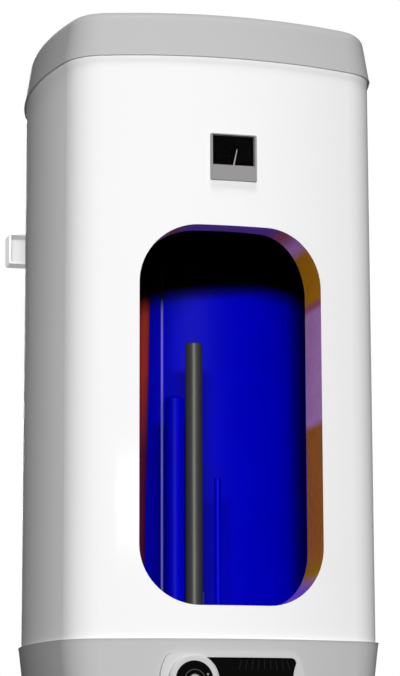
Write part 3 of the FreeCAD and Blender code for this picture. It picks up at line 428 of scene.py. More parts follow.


# On the tank, the hot pipe and the sensor tube the colours by height are painted shade and a painted
# highlight, and the arch bends the edge of the tank's painted shadow; on the foam they are bands of colour,
# the top one made lighter as painted light.
@dataclass(frozen=True)
class LevelFinish(Finish):
    """A surface whose colour changes with its height, from stop to stop, in place of its one colour.

    Attributes:
        stops: Each level in metres with its colour, from the lowest up.
        arch: How much higher a point counts, in metres at one metre from the crown.
        crown: The X and Y where a change of colour stands highest.
    """

    stops: Stops = ()
    arch: float = 0.0
    crown: tuple[float, float] = (0.0, 0.0)

    def shade(self, graph: Graph) -> bpy.types.NodeSocket:
        """The colour of each level, with the slow drift laid over it.

        Args:
            graph: The material's node tree.

        Returns:
            The colour.
        """
        low, high = self.stops[0][0], self.stops[-1][0]
        level = graph.spread(graph.arched_level(self.arch, self.crown), low, high)
        run = graph.ramp(level, [((z - low) / (high - low), colour) for z, colour in self.stops])
        patches = graph.noise(self.drift_scale, DRIFT_DETAIL)
        lights = graph.blend(patches, (1 - self.drift,) * 3, (1 + self.drift,) * 3)
        return graph.blend(1.0, run, lights, "MULTIPLY")


@dataclass(frozen=True)
class SidedFinish(LevelFinish):
    """A surface that also darkens to black along X, as painted shade.

    Attributes:
        fade_from: The X where the painted shade starts.
        fade_to: The X where the painted shade reaches black.
    """

    fade_from: float = 0.0
    fade_to: float = 1.0

    def shade(self, graph: Graph) -> bpy.types.NodeSocket:
        """The colour of each level, with painted shade that darkens it from one side to the other."""
        shade_share = graph.spread(graph.axis("X"), self.fade_from, self.fade_to)
        return graph.blend(shade_share, super().shade(graph), SHADE_BLACK)


@dataclass(frozen=True)
class FoamFinish(LevelFinish):
    """Cut foam, with open cells."""

    def relief(self, graph: Graph) -> bpy.types.NodeSocket:
        """The cells.

        Args:
            graph: The material's node tree.

        Returns:
            Their pattern.
        """
        cells = graph.add("ShaderNodeTexVoronoi")
        cells.inputs["Scale"].default_value = self.grain_scale
        graph.join(graph.place, cells.inputs["Vector"])
        return cells.outputs["Distance"]


@dataclass(frozen=True)
class FloorFinish(Finish):
    """A pale floor that throws little light back on what stands over it.

    Attributes:
        bounce: The share of its colour that it throws back.
    """

    bounce: float = 0.2

    def shade(self, graph: Graph) -> bpy.types.NodeSocket:
        """The floor's colour for the camera, and a darker one for all other rays."""
        seen = graph.add("ShaderNodeLightPath").outputs["Is Camera Ray"]
        return graph.blend(seen, scaled(self.colour, self.bounce), super().shade(graph))


@dataclass(frozen=True)
class GlassFinish(Finish):
    """Thin clear glass with a coating that takes most of its glare.

    Attributes:
        refraction: How strongly it bends light, which is little because it is thin.
    """

    refraction: float = 1.05

    def shade(self, graph: Graph) -> bpy.types.NodeSocket:
        """The faint tint of the glass."""
        return graph.blend(graph.noise(self.drift_scale), scaled(self.colour, 1 - self.drift), self.colour)

    def finish_off(self, graph: Graph) -> None:
        """Lets light through, and keeps shadows off what lies behind.

        Args:
            graph: The material's node tree.
        """
        graph.shader.inputs["Transmission Weight"].default_value = 1.0
        graph.shader.inputs["IOR"].default_value = self.refraction
        path = graph.add("ShaderNodeLightPath")
        clear = graph.add("ShaderNodeBsdfTransparent")
        mix = graph.add("ShaderNodeMixShader")
        graph.join(path.outputs["Is Shadow Ray"], mix.inputs["Fac"])
        graph.join(graph.shader.outputs["BSDF"], mix.inputs[1])
        graph.join(clear.outputs["BSDF"], mix.inputs[2])
        graph.join(mix.outputs["Shader"], graph.tree.nodes["Material Output"].inputs["Surface"])


@dataclass(frozen=True)
class Band:
    """A stretch of one colour between two levels, in millimetres above the bottom seam."""

    low: float
    high: float
    colour: Colour


def banded(*bands: Band, light: float = 1.0) -> Stops:
    """The colour stops of a row of bands, which run into one another where they leave a gap.

    Args:
        *bands: The bands, from the lowest up.
        light: How much lighter each colour is made.

    Returns:
        Each stop's level, in metres from the wall bolts, and its colour.
    """
    return tuple((SEAM_LEVEL + level * MM, scaled(band.colour, light))
                 for band in bands for level in (band.low, band.high))


TANK_BLUE = srgb(0, 0, 217)
# The sensor tube is bare steel: its blue is a painted reflection of the blue tank, and its brighter blue a
# painted highlight.
SENSOR_REFLECTED_BLUE, SENSOR_HIGHLIGHT = srgb(112, 110, 201), srgb(126, 112, 255)
# The hot pipe's red, and a darker red that is painted shade.
RISER_RED, RISER_SHADE = srgb(188, 58, 46), srgb(102, 24, 58)
# The lightest violet, on the band over the window's head, is the foam's violet made lighter as painted light,
# because that face looks down.
FOAM_INDIGO, FOAM_LIT_VIOLET = srgb(74, 45, 151), srgb(112, 80, 190)
FOAM_OLIVE, FOAM_BROWN, FOAM_OCHRE = srgb(118, 86, 2), srgb(147, 87, 33), srgb(158, 106, 4)
FOAM_VIOLET, FOAM_PLUM = srgb(164, 120, 190), srgb(142, 78, 90)
FOAM_LIGHT = 2.4

FINISHES: dict[str, Finish] = {
    "white_enamel": CoatedFinish(
        "White enamel", grey(250), roughness=0.4, specular=0.0, drift=0.008, coat=0.02),
    # The foam's bands of colour by height; the top one, over the window's head, is made lighter as painted
    # light.
    "insulation": FoamFinish(
        "Cut foam", FOAM_VIOLET, roughness=0.85, specular=0.1, drift=0.16, drift_scale=60, grain=0.0006,
        grain_scale=420, stops=banded(
            Band(40, 72, FOAM_INDIGO), Band(98, 106, FOAM_OLIVE), Band(130, 318, FOAM_BROWN),
            Band(330, 496, FOAM_VIOLET), Band(505, 508, FOAM_PLUM), Band(516, 580, FOAM_OCHRE),
            Band(591, 594, FOAM_VIOLET), Band(605, 607, FOAM_PLUM), Band(612, 640, FOAM_LIT_VIOLET),
            light=FOAM_LIGHT)),
    "grey_cover": CoatedFinish(
        "Grey cover", grey(195), roughness=0.42, specular=0.0, drift=0.012, coat=0.02),
    # The tank's enamel is blue; its black top, whose edge the arch bends down away from the crown, and its
    # darkening towards the right side are painted shade.
    "blue_enamel": SidedFinish(
        "Tank enamel", TANK_BLUE, roughness=0.45, specular=0.035, drift=0.14, drift_scale=14, grain=0.00004,
        arch=1.6, crown=(0.09, -0.1), fade_from=0.1785, fade_to=0.1955,
        stops=banded(Band(-10, 582, TANK_BLUE), Band(612, 960, SHADE_BLACK))),
    # The hot pipe is red; its darker stretches low down and its black top are painted shade.
    "hot_pipe": LevelFinish(
        "Hot pipe", RISER_RED, roughness=0.6, specular=0.04, drift=0.1, drift_scale=30, stops=banded(
            Band(-150, 0, scaled(RISER_RED, 0.7)), Band(130, 320, RISER_SHADE), Band(450, 548, RISER_RED),
            Band(580, 870, SHADE_BLACK))),
    "cold_pipe": Finish("Cold pipe", srgb(70, 70, 200), roughness=0.45, specular=0.15, drift=0.06),
    "diffuser": Finish("Inlet diffuser", srgb(120, 120, 225), roughness=0.5, specular=0.15, drift=0.05),
    "anode": BrushedFinish(
        "Anode rod", srgb(83, 85, 79), roughness=0.42, metallic=0.36, specular=0.03, drift=0.08,
        grain=0.0001),
    "bare_steel": BrushedFinish("Bare steel", srgb(200, 200, 202), roughness=0.32, drift=0.04),
    "flange_enamel": Finish("Flange enamel", srgb(60, 62, 110), roughness=0.3, specular=0.4, drift=0.05),
    "seal_rubber": Finish(
        "Seal rubber", grey(42), roughness=0.8, specular=0.2, drift=0.06, grain=0.00006),
    "element_ceramic": Finish(
        "Element ceramic", srgb(236, 232, 222), roughness=0.75, drift=0.03, grain=0.00008),
    "terminal_brass": BrushedFinish("Terminal brass", srgb(222, 186, 120), roughness=0.25, drift=0.04),
    "thermostat_shell": Finish("Thermostat shell", srgb(232, 228, 216), roughness=0.5, drift=0.02),
    "reset_red": CoatedFinish("Reset red", srgb(214, 40, 34), roughness=0.35, drift=0.02),
    "hot_red": CoatedFinish("Hot collar", srgb(214, 36, 30), roughness=0.35, drift=0.02),
    "cold_blue": CoatedFinish("Cold collar", srgb(32, 70, 214), roughness=0.35, drift=0.02),
    "gland_grey": Finish("Gland grey", srgb(176, 176, 178), roughness=0.6, drift=0.03, grain=0.00004),
    "circuit_green": CoatedFinish(
        "Circuit board", srgb(30, 120, 66), roughness=0.4, drift=0.1, drift_scale=260, coat=0.4),
    "component_black": Finish("Board parts", srgb(44, 44, 46), roughness=0.45, drift=0.06),
    "bezel_silver": CoatedFinish(
        "Silver bezel", grey(208), roughness=0.36, specular=0.03, drift=0.015, coat=0.05),
    "display_black": CoatedFinish(
        "Display lens", grey(9), roughness=0.2, specular=0.01, drift=0.05, coat=0.01),
    "knob_black": Finish("Knob black", grey(5), roughness=0.3, specular=0.02, drift=0.06, grain=0.00001),
    "button_black": CoatedFinish(
        "Button black", grey(24), roughness=0.35, specular=0.05, drift=0.05, coat=0.05),
    "case_grey": Finish("Thermometer case", srgb(154, 152, 152), roughness=0.45, specular=0.05, drift=0.03),
    "dial_black": Finish("Dial black", grey(3), roughness=0.9, specular=0.0, drift=0.1),
    "needle_white": Finish("Needle white", srgb(164, 164, 162), roughness=0.5, specular=0.05, drift=0.02),
    "clear_glass": GlassFinish("Clear glass", (0.96, 0.97, 0.97), roughness=0.02, specular=0.05, drift=0.01),
}

TRIM: dict[str, Finish] = {
    # The bottom cap has the lid's grey, made lighter as painted light.
    "cap_cover": CoatedFinish(
        "Cap cover, painted light", grey(204), roughness=0.42, specular=0.0, drift=0.012, coat=0.02),
    # The sensor tube's painted reflection of the tank, with a painted highlight and a black top of painted
    # shade.
    "sensor_sleeve": LevelFinish(
        "Sensor tube, painted light", SENSOR_REFLECTED_BLUE, roughness=0.5, specular=0.02, drift=0.04, stops=banded(
            Band(-60, 365, SENSOR_REFLECTED_BLUE), Band(425, 480, SENSOR_HIGHLIGHT), Band(528, 530, SENSOR_REFLECTED_BLUE),
            Band(552, 700, SHADE_BLACK))),
    # The heater pocket's blue enamel, darkened towards its left side as painted shade.
    "pocket_enamel": SidedFinish(
        "Pocket enamel, painted shade", TANK_BLUE, roughness=0.45, specular=0.035, drift=0.06, drift_scale=14, grain=0.00004,
        fade_from=-0.027, fade_to=-0.075, stops=banded(Band(-10, 960, TANK_BLUE))),
    "knob_ring": Finish("Knob ring", grey(72), roughness=0.4, specular=0.05, drift=0.03),
    "pointer": Finish("Knob pointer", grey(136), roughness=0.4, drift=0.02),
    "button_mark": Finish("Button grey disc", grey(156), roughness=0.4, drift=0.03),
    "bars": Finish("Display bars", grey(32), roughness=0.4, specular=0.01, drift=0.08),
}

# Nodes whose finish differs from the others of their slot by painted light and shade: the sensor tube, the
# heater pocket and the bottom cap.
OWN_FINISH = {
    "sensor_tube": "sensor_sleeve",
    "heater_pocket": "pocket_enamel",
    "bottom_cap": "cap_cover",
}

FLOOR_FINISH = FloorFinish("Pale floor", grey(246), roughness=0.8, specular=0.0, drift=0.01, grain=0.0)


class Bench:
    """Short ways to model a piece as by hand, each from an empty selection."""

    @staticmethod
    def clear() -> None:
        """Leaves edit mode and deselects everything."""
        if bpy.context.object and bpy.context.object.mode != "OBJECT":
            bpy.ops.object.mode_set(mode="OBJECT")
        bpy.ops.object.select_all(action="DESELECT")

    @staticmethod
    def take(piece: bpy.types.Object) -> None:
        """Selects one piece alone and makes it the active one.

        Args:
            piece: The piece.
        """
        Bench.clear()
        piece.select_set(True)
        bpy.context.view_layer.objects.active = piece

    @staticmethod
    def named(name: str) -> bpy.types.Object:
        """Names the active object and its mesh.

        Args:
            name: The name.

        Returns:
            The object.
        """
        piece = bpy.context.object
        piece.name = name
        piece.data.name = name
        return piece

    @staticmethod
    @contextmanager
    def editing() -> Iterator[None]:
        """Opens the active object in edit mode with all of it selected, and closes it afterwards."""
        bpy.ops.object.mode_set(mode="EDIT")
        bpy.ops.mesh.select_all(action="SELECT")
        yield
        bpy.ops.object.mode_set(mode="OBJECT")

    @staticmethod
    def settle(piece: bpy.types.Object) -> None:
        """Puts a piece's place and turn into its mesh, so that its object sits at the origin."""
        Bench.take(piece)
        bpy.ops.object.transform_apply(location=True, rotation=True, scale=True)

    @staticmethod
    def apply(piece: bpy.types.Object, kind: str, **settings: object) -> None:
        """Adds a modifier and applies it.

        Args:
            piece: The piece, which becomes the active one.
            kind: The modifier's type name.
            **settings: Attributes to set on it.
        """
        Bench.take(piece)
        modifier = piece.modifiers.new(kind.lower(), kind)
        for name, value in settings.items():
            setattr(modifier, name, value)
        bpy.ops.object.modifier_apply(modifier=modifier.name)

    @staticmethod
    def round_edges(piece: bpy.types.Object, width: float, steps: int = ROUND_STEPS) -> None:
        """Rounds a piece's sharp edges off."""
        Bench.apply(piece, "BEVEL", width=width, segments=steps, limit_method="ANGLE")

    @staticmethod
    def smooth(piece: bpy.types.Object, degrees: float = EDGE_ANGLE) -> None:
        """Shades a piece smooth, apart from edges sharper than an angle."""
        Bench.take(piece)
        bpy.ops.object.shade_smooth_by_angle(angle=math.radians(degrees))

    @staticmethod
    def face_out(piece: bpy.types.Object) -> None:
        """Merges doubles and turns every face outwards.

        Args:
            piece: The piece.
        """
        Bench.take(piece)
        with Bench.editing():
            bpy.ops.mesh.remove_doubles(threshold=MERGE)
            bpy.ops.mesh.normals_make_consistent(inside=False)


@dataclass
class Assembly:
    """A group of the heater's pieces that is dressed together."""

    frame: dict[str, Any]
    materials: dict[str, bpy.types.Material]
    made: list[bpy.types.Object] = field(default_factory=list)

    def build(self) -> None:
        """Makes the assembly's own pieces."""

    def add(self, piece: bpy.types.Object, finish: str, slot: str, body: Body = Body.HEATER) -> None:
        """Gives a finished piece its material and its body.

        Args:
            piece: The piece.
            finish: The name of its finish.
            slot: The record's slot of that finish; it is not used.
            body: The body that it moves with.
        """
        piece.data.materials.clear()
        piece.data.materials.append(self.materials[finish])
        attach(piece, body.value)
        self.made.append(piece)


@dataclass
class Covers(Assembly):
    """The lid, the bottom cap and the jacket between them.

    Attributes:
        bead_radius: Half the thickness of a cover's rolled rim.
        bead_rise: How far the rim's middle lies from the cover's edge.
        bead_steps: How finely the rim's section is rounded.
        seam_width: The width of the jacket's seam.
        seam_height: How far it stands out.
        seam_round: The rounding of its edges.
        seam_end: How far it stays from the jacket's ends.
    """

    bead_radius: float = 0.7 * MM
    bead_rise: float = 0.7 * MM
    bead_steps: int = 3
    seam_width: float = 12 * MM
    seam_height: float = 0.7 * MM
    seam_round: float = 0.63 * MM
    seam_end: float = 4 * MM

    def build(self) -> None:
        """Makes the rolled rims of both covers and the folded seam at the back of the jacket."""
        lid_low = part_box("top_lid")[0].z
        cap_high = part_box("bottom_cap")[1].z
        self.rim("lid_rim", "top_lid", lid_low + self.bead_rise, "grey_cover")
        # The cap's rim takes the cap's grey, made lighter as painted light.
        self.rim("cap_rim", "bottom_cap", cap_high - self.bead_rise, "cap_cover")
        self.back_seam()

    def rim(self, name: str, cover: str, level: float, finish: str) -> None:
        """A thin bead round a cover, along the cover's own outline at one level.

        Args:
            name: The bead's name.
            cover: The node that it runs round.
            level: The height of the bead's middle.
            finish: The cover's finish.
        """
        Bench.take(self.frame["nodes"][cover])
        bpy.ops.object.duplicate()
        bead = Bench.named(name)
        with Bench.editing():
            bpy.ops.mesh.remove_doubles(threshold=COPY_MERGE)
            bpy.ops.mesh.bisect(
                plane_co=(0, 0, level), plane_no=(0, 0, 1), clear_inner=True, clear_outer=True)
        self.keep_outer_loop(bead)
        bpy.ops.object.convert(target="CURVE")
        bead.data.bevel_depth = self.bead_radius
        bead.data.bevel_resolution = self.bead_steps
        bpy.ops.object.convert(target="MESH")
        Bench.face_out(bead)
        Bench.smooth(bead)
        self.add(bead, finish, "grey_cover")

    @staticmethod
    def loops(mesh: bpy.types.Mesh) -> list[set[int]]:
        """Parts a mesh of edges into its loops.

        Args:
            mesh: The mesh.

        Returns:
            The vertices of each loop, by index.
        """
        joined = {vertex.index: set() for vertex in mesh.vertices}
        for edge in mesh.edges:
            first, second = edge.vertices
            joined[first].add(second)
            joined[second].add(first)
        found, seen = [], set()
        for start in joined:
            if start in seen:
                continue
            loop, waiting = set(), [start]
            while waiting:
                index = waiting.pop()
                if index not in loop:
                    loop.add(index)
                    waiting.extend(joined[index] - loop)
            seen |= loop
            found.append(loop)
        return found

    @staticmethod
    def keep_outer_loop(piece: bpy.types.Object) -> None:
        """Deletes the inner of two loops, which lies a wall's thickness inside the outer one.

        Args:
            piece: A mesh of two closed loops of edges.
        """
        mesh = piece.data
        outer = max(Covers.loops(mesh), key=lambda loop: max(mesh.vertices[index].co.x for index in loop))
        bpy.ops.object.mode_set(mode="EDIT")
        bpy.ops.mesh.select_all(action="DESELECT")
        bpy.ops.object.mode_set(mode="OBJECT")
        for vertex in mesh.vertices:
            vertex.select = vertex.index not in outer
        bpy.ops.object.mode_set(mode="EDIT")
        bpy.ops.mesh.delete(type="VERT")
        bpy.ops.object.mode_set(mode="OBJECT")

    def back_seam(self) -> None:
        """The jacket's folded seam, which runs up the middle of its back."""
        low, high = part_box("jacket")
        length = high.z - low.z - 2 * self.seam_end
        Bench.clear()
        bpy.ops.mesh.primitive_cube_add(size=1, location=(0, high.y, (low.z + high.z) / 2))
        bpy.ops.transform.resize(value=(self.seam_width, 2 * self.seam_height, length))
        piece = Bench.named("jacket_seam")
        Bench.settle(piece)
        Bench.round_edges(piece, self.seam_round)
        Bench.smooth(piece)
        self.add(piece, "white_enamel", "white_enamel")


@dataclass
class Tank(Assembly):
    """The welded tank behind the window.

    Attributes:
        weld_radius: Half the thickness of a weld bead.
        weld_depth: How far its middle lies inside the shell's outer face.
        weld_sides: Steps round the tank.
        weld_steps: Steps round the bead.
    """

    weld_radius: float = 1.6 * MM
    weld_depth: float = 2.5 * MM
    weld_sides: int = 96
    weld_steps: int = 8

    def build(self) -> None:
        """Makes the weld beads between the shell and its two domes."""
        low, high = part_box("tank_shell")
        middle = Vector(((low.x + high.x) / 2, (low.y + high.y) / 2, 0))
        radius = (high.x - low.x) / 2 - self.weld_depth
        for name, level in (("tank_weld_top", high.z), ("tank_weld_low", low.z)):
            Bench.clear()
            bpy.ops.mesh.primitive_torus_add(
                location=(middle.x, middle.y, level), major_radius=radius, minor_radius=self.weld_radius,
                major_segments=self.weld_sides, minor_segments=self.weld_steps)
            piece = Bench.named(name)
            Bench.settle(piece)
            Bench.smooth(piece, ROUND_ANGLE)
            self.add(piece, "blue_enamel", "blue_enamel")


@dataclass
class Pipes(Assembly):
    """The two water stubs under the cap.

    Attributes:
        pitch: How far a thread climbs in one turn.
        ridge_depth: How far its ridge stands out.
        ridge_share: Half the ridge's width, as a share of the pitch.
        ridge_corners: Corners of the ridge's section.
        plain_end: The plain length at each end of the thread.
        steps: Steps in one turn.
    """

    pitch: float = 1.814 * MM
    ridge_depth: float = 0.45 * MM
    ridge_share: float = 0.42
    ridge_corners: int = 4
    plain_end: float = 1.5 * MM
    steps: int = 40

    def build(self) -> None:
        """Makes the stubs' threads."""
        for name, node, finish in (("hot_thread", "hot_water_pipe", "hot_pipe"),
                                   ("cold_thread", "cold_water_pipe", "cold_pipe")):
            self.thread(name, node, finish)

    def thread(self, name: str, node: str, finish: str) -> None:
        """One stub's thread, a ridge that winds round it.

        Args:
            name: The thread's name.
            node: The pipe's node.
            finish: The finish that the pipe has too.
        """
        mounts = self.frame["record"]["mounts"]
        mount = next(item for item in mounts if item["name"].startswith(node.split("_")[0]))
        x, y = mount["pos_m"][:2]
        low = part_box(node)[0]
        radius = mount["dims"]["r_mm"] * MM
        turns = int((mount["dims"]["length_mm"] * MM - 2 * self.plain_end) / self.pitch)
        ridge = self.pitch * self.ridge_share
        Bench.clear()
        bpy.ops.mesh.primitive_circle_add(vertices=self.ridge_corners, radius=ridge, location=(radius, 0, 0),
                                          rotation=FACING_FRONT)
        piece = Bench.named(name)
        Bench.settle(piece)
        with Bench.editing():
            bpy.ops.transform.resize(value=(self.ridge_depth / ridge, 1, 1), center_override=(radius, 0, 0))
        Bench.apply(piece, "SCREW", screw_offset=self.pitch, iterations=turns, steps=self.steps,
                    render_steps=self.steps, axis="Z")
        piece.location = (x, y, low.z + self.plain_end)
        Bench.settle(piece)
        Bench.face_out(piece)
        self.add(piece, finish, finish)


@dataclass
class Panel(Assembly):
    """The control panel on the bottom cap.

    Attributes:
        middle: The middle of the knob's face.
        ring_radius: The radius of the ring on the knob, to the middle of its line.
        ring_thickness: Half the width of that line.
        ring_flatness: The ring's depth over its width.
        ring_sides: Steps round the knob.
        ring_steps: Steps round the line.
        pointer_radius: The pointer's distance from the middle.
        pointer_size: Its radius.
        pointer_angle: Its angle above the right-hand side, in degrees.
        mark_size: The radius of the mark on the button.
        disc_proud: How far pointer and mark stand out.
        disc_round: The rounding of their edges.
        disc_sides: Steps round them.
        bar_count: Bars on the display.
        bar_middle: The X of the middle bar.
        bar_drop: The gap between the bars and the lens's upper edge.
        bar_pitch: The distance from bar to bar.
        bar_width: A bar's width.
        bar_depth: Its depth, half of it in the lens.
        bar_length: Its length.
        bar_round: The rounding of its edges.
        bar_round_steps: Steps in that rounding.
        bar_lean: The lean of the outermost bars, in degrees.
        reach: How far before the wall plane the search for the lens's face starts.
    """

    middle: Vector = field(default_factory=Vector)
    ring_radius: float = 15 * MM
    ring_thickness: float = 0.7 * MM
    ring_flatness: float = 0.4
    ring_sides: int = 64
    ring_steps: int = 10
    pointer_radius: float = 21 * MM
    pointer_size: float = 1.7 * MM
    pointer_angle: float = 23.0
    # mark_size: The radius of the light grey disc on the button.
    mark_size: float = 8.4 * MM
    disc_proud: float = 0.35 * MM
    disc_round: float = 0.28 * MM
    disc_sides: int = 40
    bar_count: int = 9
    bar_middle: float = 42 * MM
    bar_drop: float = 3 * MM
    bar_pitch: float = 9.2 * MM
    bar_width: float = 1.3 * MM
    bar_depth: float = 0.3 * MM
    bar_length: float = 14 * MM
    bar_round: float = 0.1 * MM
    bar_round_steps: int = 2
    bar_lean: float = 15.0
    reach: float = 1.0

    def build(self) -> None:
        """Makes the knob's ring and pointer, the light grey disc on the button and the bars on the display.
        """
        low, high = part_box("control_knob")
        self.middle = Vector(((low.x + high.x) / 2, low.y, (low.z + high.z) / 2))
        self.knob_ring()
        pointer = self.on_knob(self.pointer_radius, self.pointer_angle)
        self.disc("knob_pointer", pointer, self.pointer_size, "pointer", Body.KNOB)
        disc_middle = Vector((self.middle.x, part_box("knob_button")[0].y, self.middle.z))
        self.disc("button_mark", disc_middle, self.mark_size, "button_mark", Body.BUTTON)
        self.display_bars()

    def on_knob(self, radius: float, degrees: float) -> Vector:
        """A point on the knob's face.

        Args:
            radius: Its distance from the knob's middle.
            degrees: Its angle above the right-hand side.

        Returns:
            The point.
        """
        angle = math.radians(degrees)
        return self.middle + Vector((radius * math.cos(angle), 0, radius * math.sin(angle)))

    def knob_ring(self) -> None:
        """The grey ring let into the knob's face."""
        Bench.clear()
        bpy.ops.mesh.primitive_torus_add(
            location=self.middle, rotation=FACING_FRONT, major_radius=self.ring_radius,
            minor_radius=self.ring_thickness, major_segments=self.ring_sides, minor_segments=self.ring_steps)
        piece = Bench.named("knob_ring")
        Bench.settle(piece)
        with Bench.editing():
            bpy.ops.transform.resize(value=(1, self.ring_flatness, 1), center_override=self.middle)
        Bench.smooth(piece, ROUND_ANGLE)
        self.add(piece, "knob_ring", "bezel_silver", Body.KNOB)

    def disc(self, name: str, place: Vector, radius: float, finish: str, body: Body) -> None:
        """A low domed disc on the knob or its button.

        Args:
            name: The disc's name.
            place: Its middle, on the face that carries it.
            radius: Its radius.
            finish: Its finish.
            body: The body that it moves with.
        """
        Bench.clear()
        bpy.ops.mesh.primitive_cylinder_add(
            vertices=self.disc_sides, radius=radius, depth=2 * self.disc_proud, location=place,
            rotation=FACING_FRONT)
        piece = Bench.named(name)
        Bench.settle(piece)
        Bench.round_edges(piece, self.disc_round)
        Bench.smooth(piece, ROUND_ANGLE)
        self.add(piece, finish, "bezel_silver", body)

    def display_bars(self) -> None:
        """The fan of dark bars across the display, each let into the lens where it stands."""
        lens = self.frame["nodes"]["display_lens"]
        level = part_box("display_lens")[1].z - self.bar_drop - self.bar_length / 2
        half = (self.bar_count - 1) / 2
        for number in range(self.bar_count):
            x = self.bar_middle + (number - half) * self.bar_pitch
            hit, point, normal, _ = lens.ray_cast(Vector((x, -self.reach, level)), Vector((0, 1, 0)))
            if not hit:
                raise RuntimeError(f"bar {number} misses the display")
            Bench.clear()
            bpy.ops.mesh.primitive_cube_add(size=1, location=point)
            piece = Bench.named(f"display_bar_{number}")
            piece.scale = (self.bar_width, self.bar_depth, self.bar_length)
            lean = math.radians(self.bar_lean * (half - number) / half)
            piece.rotation_euler = (0, lean, math.atan2(normal.x, -normal.y))
            Bench.settle(piece)
            Bench.round_edges(piece, self.bar_round, self.bar_round_steps)
            self.add(piece, "bars", "component_black")


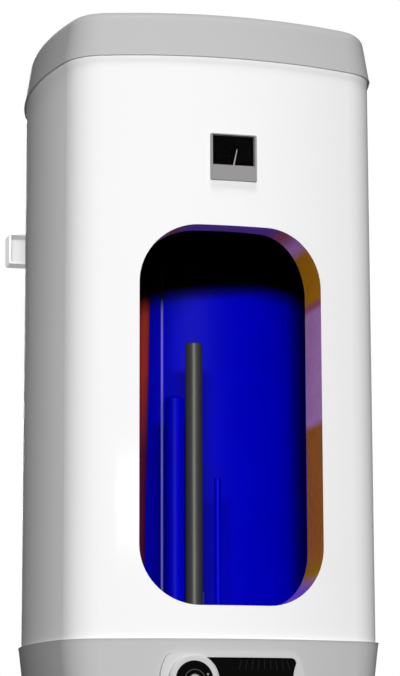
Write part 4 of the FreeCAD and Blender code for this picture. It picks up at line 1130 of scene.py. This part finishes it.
@dataclass
class Studio:
    """The floor, lamps, world and camera.

    Attributes:
        nodes: The heater's own parts by name.
        camera_place: Where the camera stands.
        yaw: How far it is turned to the right, in degrees.
        pitch: How far it looks up, in degrees.
        roll: How far it is tilted, in degrees.
        lens: Its focal length, in millimetres.
        floor_level: The floor's height.
        floor_size: Its width and depth.
        ambient: The strength of the light from all round.
        middle: The point that the softbox faces.
        box_distance: Its distance from that point.
        box_width: Its width.
        box_height: Its height.
    """

    nodes: dict[str, bpy.types.Object]
    camera_place: tuple[float, float, float] = (-0.93465, -3.91953, -0.85572)
    yaw: float = 14.55
    pitch: float = 10.19
    roll: float = -0.16
    lens: float = 129.01
    floor_level: float = -1.30
    floor_size: float = 30.0
    ambient: float = 0.005
    middle: tuple[float, float, float] = (0.0, -0.28, -0.25)
    box_distance: float = 6.0
    box_width: float = 1.7
    box_height: float = 0.36

    def build(self) -> None:
        """Sets everything up round the heater."""
        self.camera()
        self.softbox("key_light", azimuth=-13, elevation=4, strength=0.69)
        self.lamp("top_light", azimuth=-5, elevation=72, strength=0.5, spread=20)
        self.lamp("fill_light", azimuth=48, elevation=10, strength=0.02, spread=40)
        self.lamp("back_light", azimuth=167, elevation=12, strength=0.6, spread=20)
        self.lamp("bracket_light", azimuth=-70, elevation=-30, strength=1.0, spread=150,
                  only=("wall_bracket",))
        self.world()
        self.floor()
        bpy.context.scene.view_settings.view_transform = "Standard"

    def camera(self) -> None:
        """The camera, where the photograph was taken from."""
        yaw, pitch, roll = (math.radians(angle) for angle in (self.yaw, self.pitch, self.roll))
        ahead = Vector((math.sin(yaw) * math.cos(pitch), math.cos(yaw) * math.cos(pitch), math.sin(pitch)))
        right = Vector((math.cos(yaw), -math.sin(yaw), 0))
        turn = Matrix((right, right.cross(ahead), -ahead)).transposed() @ Matrix.Rotation(roll, 3, "Z")
        data = bpy.data.cameras.new("camera")
        data.lens = self.lens
        camera = bpy.data.objects.new("camera", data)
        camera.matrix_world = Matrix.Translation(self.camera_place) @ turn.to_4x4()
        bpy.context.scene.collection.objects.link(camera)
        bpy.context.scene.camera = camera

    @staticmethod
    def towards(azimuth: float, elevation: float) -> Vector:
        """The direction that leads from the heater to a lamp."""
        side, rise = math.radians(azimuth), math.radians(elevation)
        return Vector((math.sin(side) * math.cos(rise), -math.cos(side) * math.cos(rise), math.sin(rise)))

    def softbox(self, name: str, azimuth: float, elevation: float, strength: float) -> None:
        """A wide, low softbox that faces the heater.

        Args:
            name: The lamp's name.
            azimuth: Its side, in degrees to the right of the front.
            elevation: Its height above the horizon, in degrees.
            strength: The share of a surface's own colour that it gives where it falls square on it.
        """
        data = bpy.data.lights.new(name, "AREA")
        data.shape = "RECTANGLE"
        data.size, data.size_y = self.box_width, self.box_height
        data.energy = strength * (math.pi * self.box_distance) ** 2
        towards = self.towards(azimuth, elevation)
        lamp = bpy.data.objects.new(name, data)
        lamp.location = Vector(self.middle) + towards * self.box_distance
        lamp.rotation_euler = towards.to_track_quat("Z", "Y").to_euler()
        bpy.context.scene.collection.objects.link(lamp)

    def lamp(self, name: str, azimuth: float, elevation: float, strength: float, spread: float,
             only: tuple[str, ...] = ()) -> None:
        """A distant soft lamp.

        Args:
            name: The lamp's name.
            azimuth: Its side, in degrees to the right of the front.
            elevation: Its height above the horizon, in degrees.
            strength: The share of a surface's own colour that it gives where it falls square on it.
            spread: How wide it looks, in degrees.
            only: The only parts that it lights and that throw its shadows, or none for all.
        """
        data = bpy.data.lights.new(name, "SUN")
        data.energy = strength * math.pi
        data.angle = math.radians(spread)
        lamp = bpy.data.objects.new(name, data)
        lamp.rotation_euler = self.towards(azimuth, elevation).to_track_quat("Z", "Y").to_euler()
        bpy.context.scene.collection.objects.link(lamp)
        if only:
            lit = bpy.data.collections.new(name)
            for node in only:
                lit.objects.link(self.nodes[node])
            lamp.light_linking.receiver_collection = lit
            lamp.light_linking.blocker_collection = lit

    def world(self) -> None:
        """An even dim surround that the camera, gloss and glass see as white."""
        world = bpy.data.worlds.new("surround")
        bpy.context.scene.world = world
        world.use_nodes = True
        nodes, links = world.node_tree.nodes, world.node_tree.links
        back = nodes["Background"]
        back.inputs["Color"].default_value = (1.0, 1.0, 1.0, 1.0)
        path = nodes.new("ShaderNodeLightPath")
        seen = path.outputs["Is Camera Ray"]
        for other in ("Is Glossy Ray", "Is Transmission Ray"):
            either = nodes.new("ShaderNodeMath")
            either.operation = "MAXIMUM"
            links.new(seen, either.inputs[0])
            links.new(path.outputs[other], either.inputs[1])
            seen = either.outputs[0]
        level = nodes.new("ShaderNodeMapRange")
        level.inputs["To Min"].default_value = self.ambient
        level.inputs["To Max"].default_value = 1.0
        links.new(seen, level.inputs["Value"])
        links.new(level.outputs["Result"], back.inputs["Strength"])

    def floor(self) -> None:
        """The plain pale floor below the heater."""
        Bench.clear()
        bpy.ops.mesh.primitive_plane_add(size=self.floor_size, location=(0, 0, self.floor_level))
        floor = Bench.named("floor")
        floor.data.materials.append(FLOOR_FINISH.build())


def dress(frame: dict[str, Any], materials: dict[str, bpy.types.Material]) -> None:
    """Gives every node of the frame its own finish, or that of its slot.

    Args:
        materials: The built materials by finish name.
    """
    for item in frame["record"]["subparts"]:
        node = frame["nodes"][item["node"]]
        finish = OWN_FINISH.get(item["node"], item["material_slot"])
        node.data.materials.clear()
        node.data.materials.append(materials[finish])


def main() -> None:
    """Builds the whole scene."""
    logging.basicConfig(level=logging.INFO, format="%(name)s: %(message)s")
    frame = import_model()
    materials = {name: finish.build() for name, finish in {**FINISHES, **TRIM}.items()}
    dress(frame, materials)
    for kind in (Covers, Tank, Pipes, Panel):
        assembly = kind(frame, materials)
        assembly.build()
        for piece in assembly.made:
            LOG.info("%s: %s, %d faces", kind.__name__, piece.name, len(piece.data.polygons))
    Studio(frame["nodes"]).build()


if __name__ == "__main__":
    main()
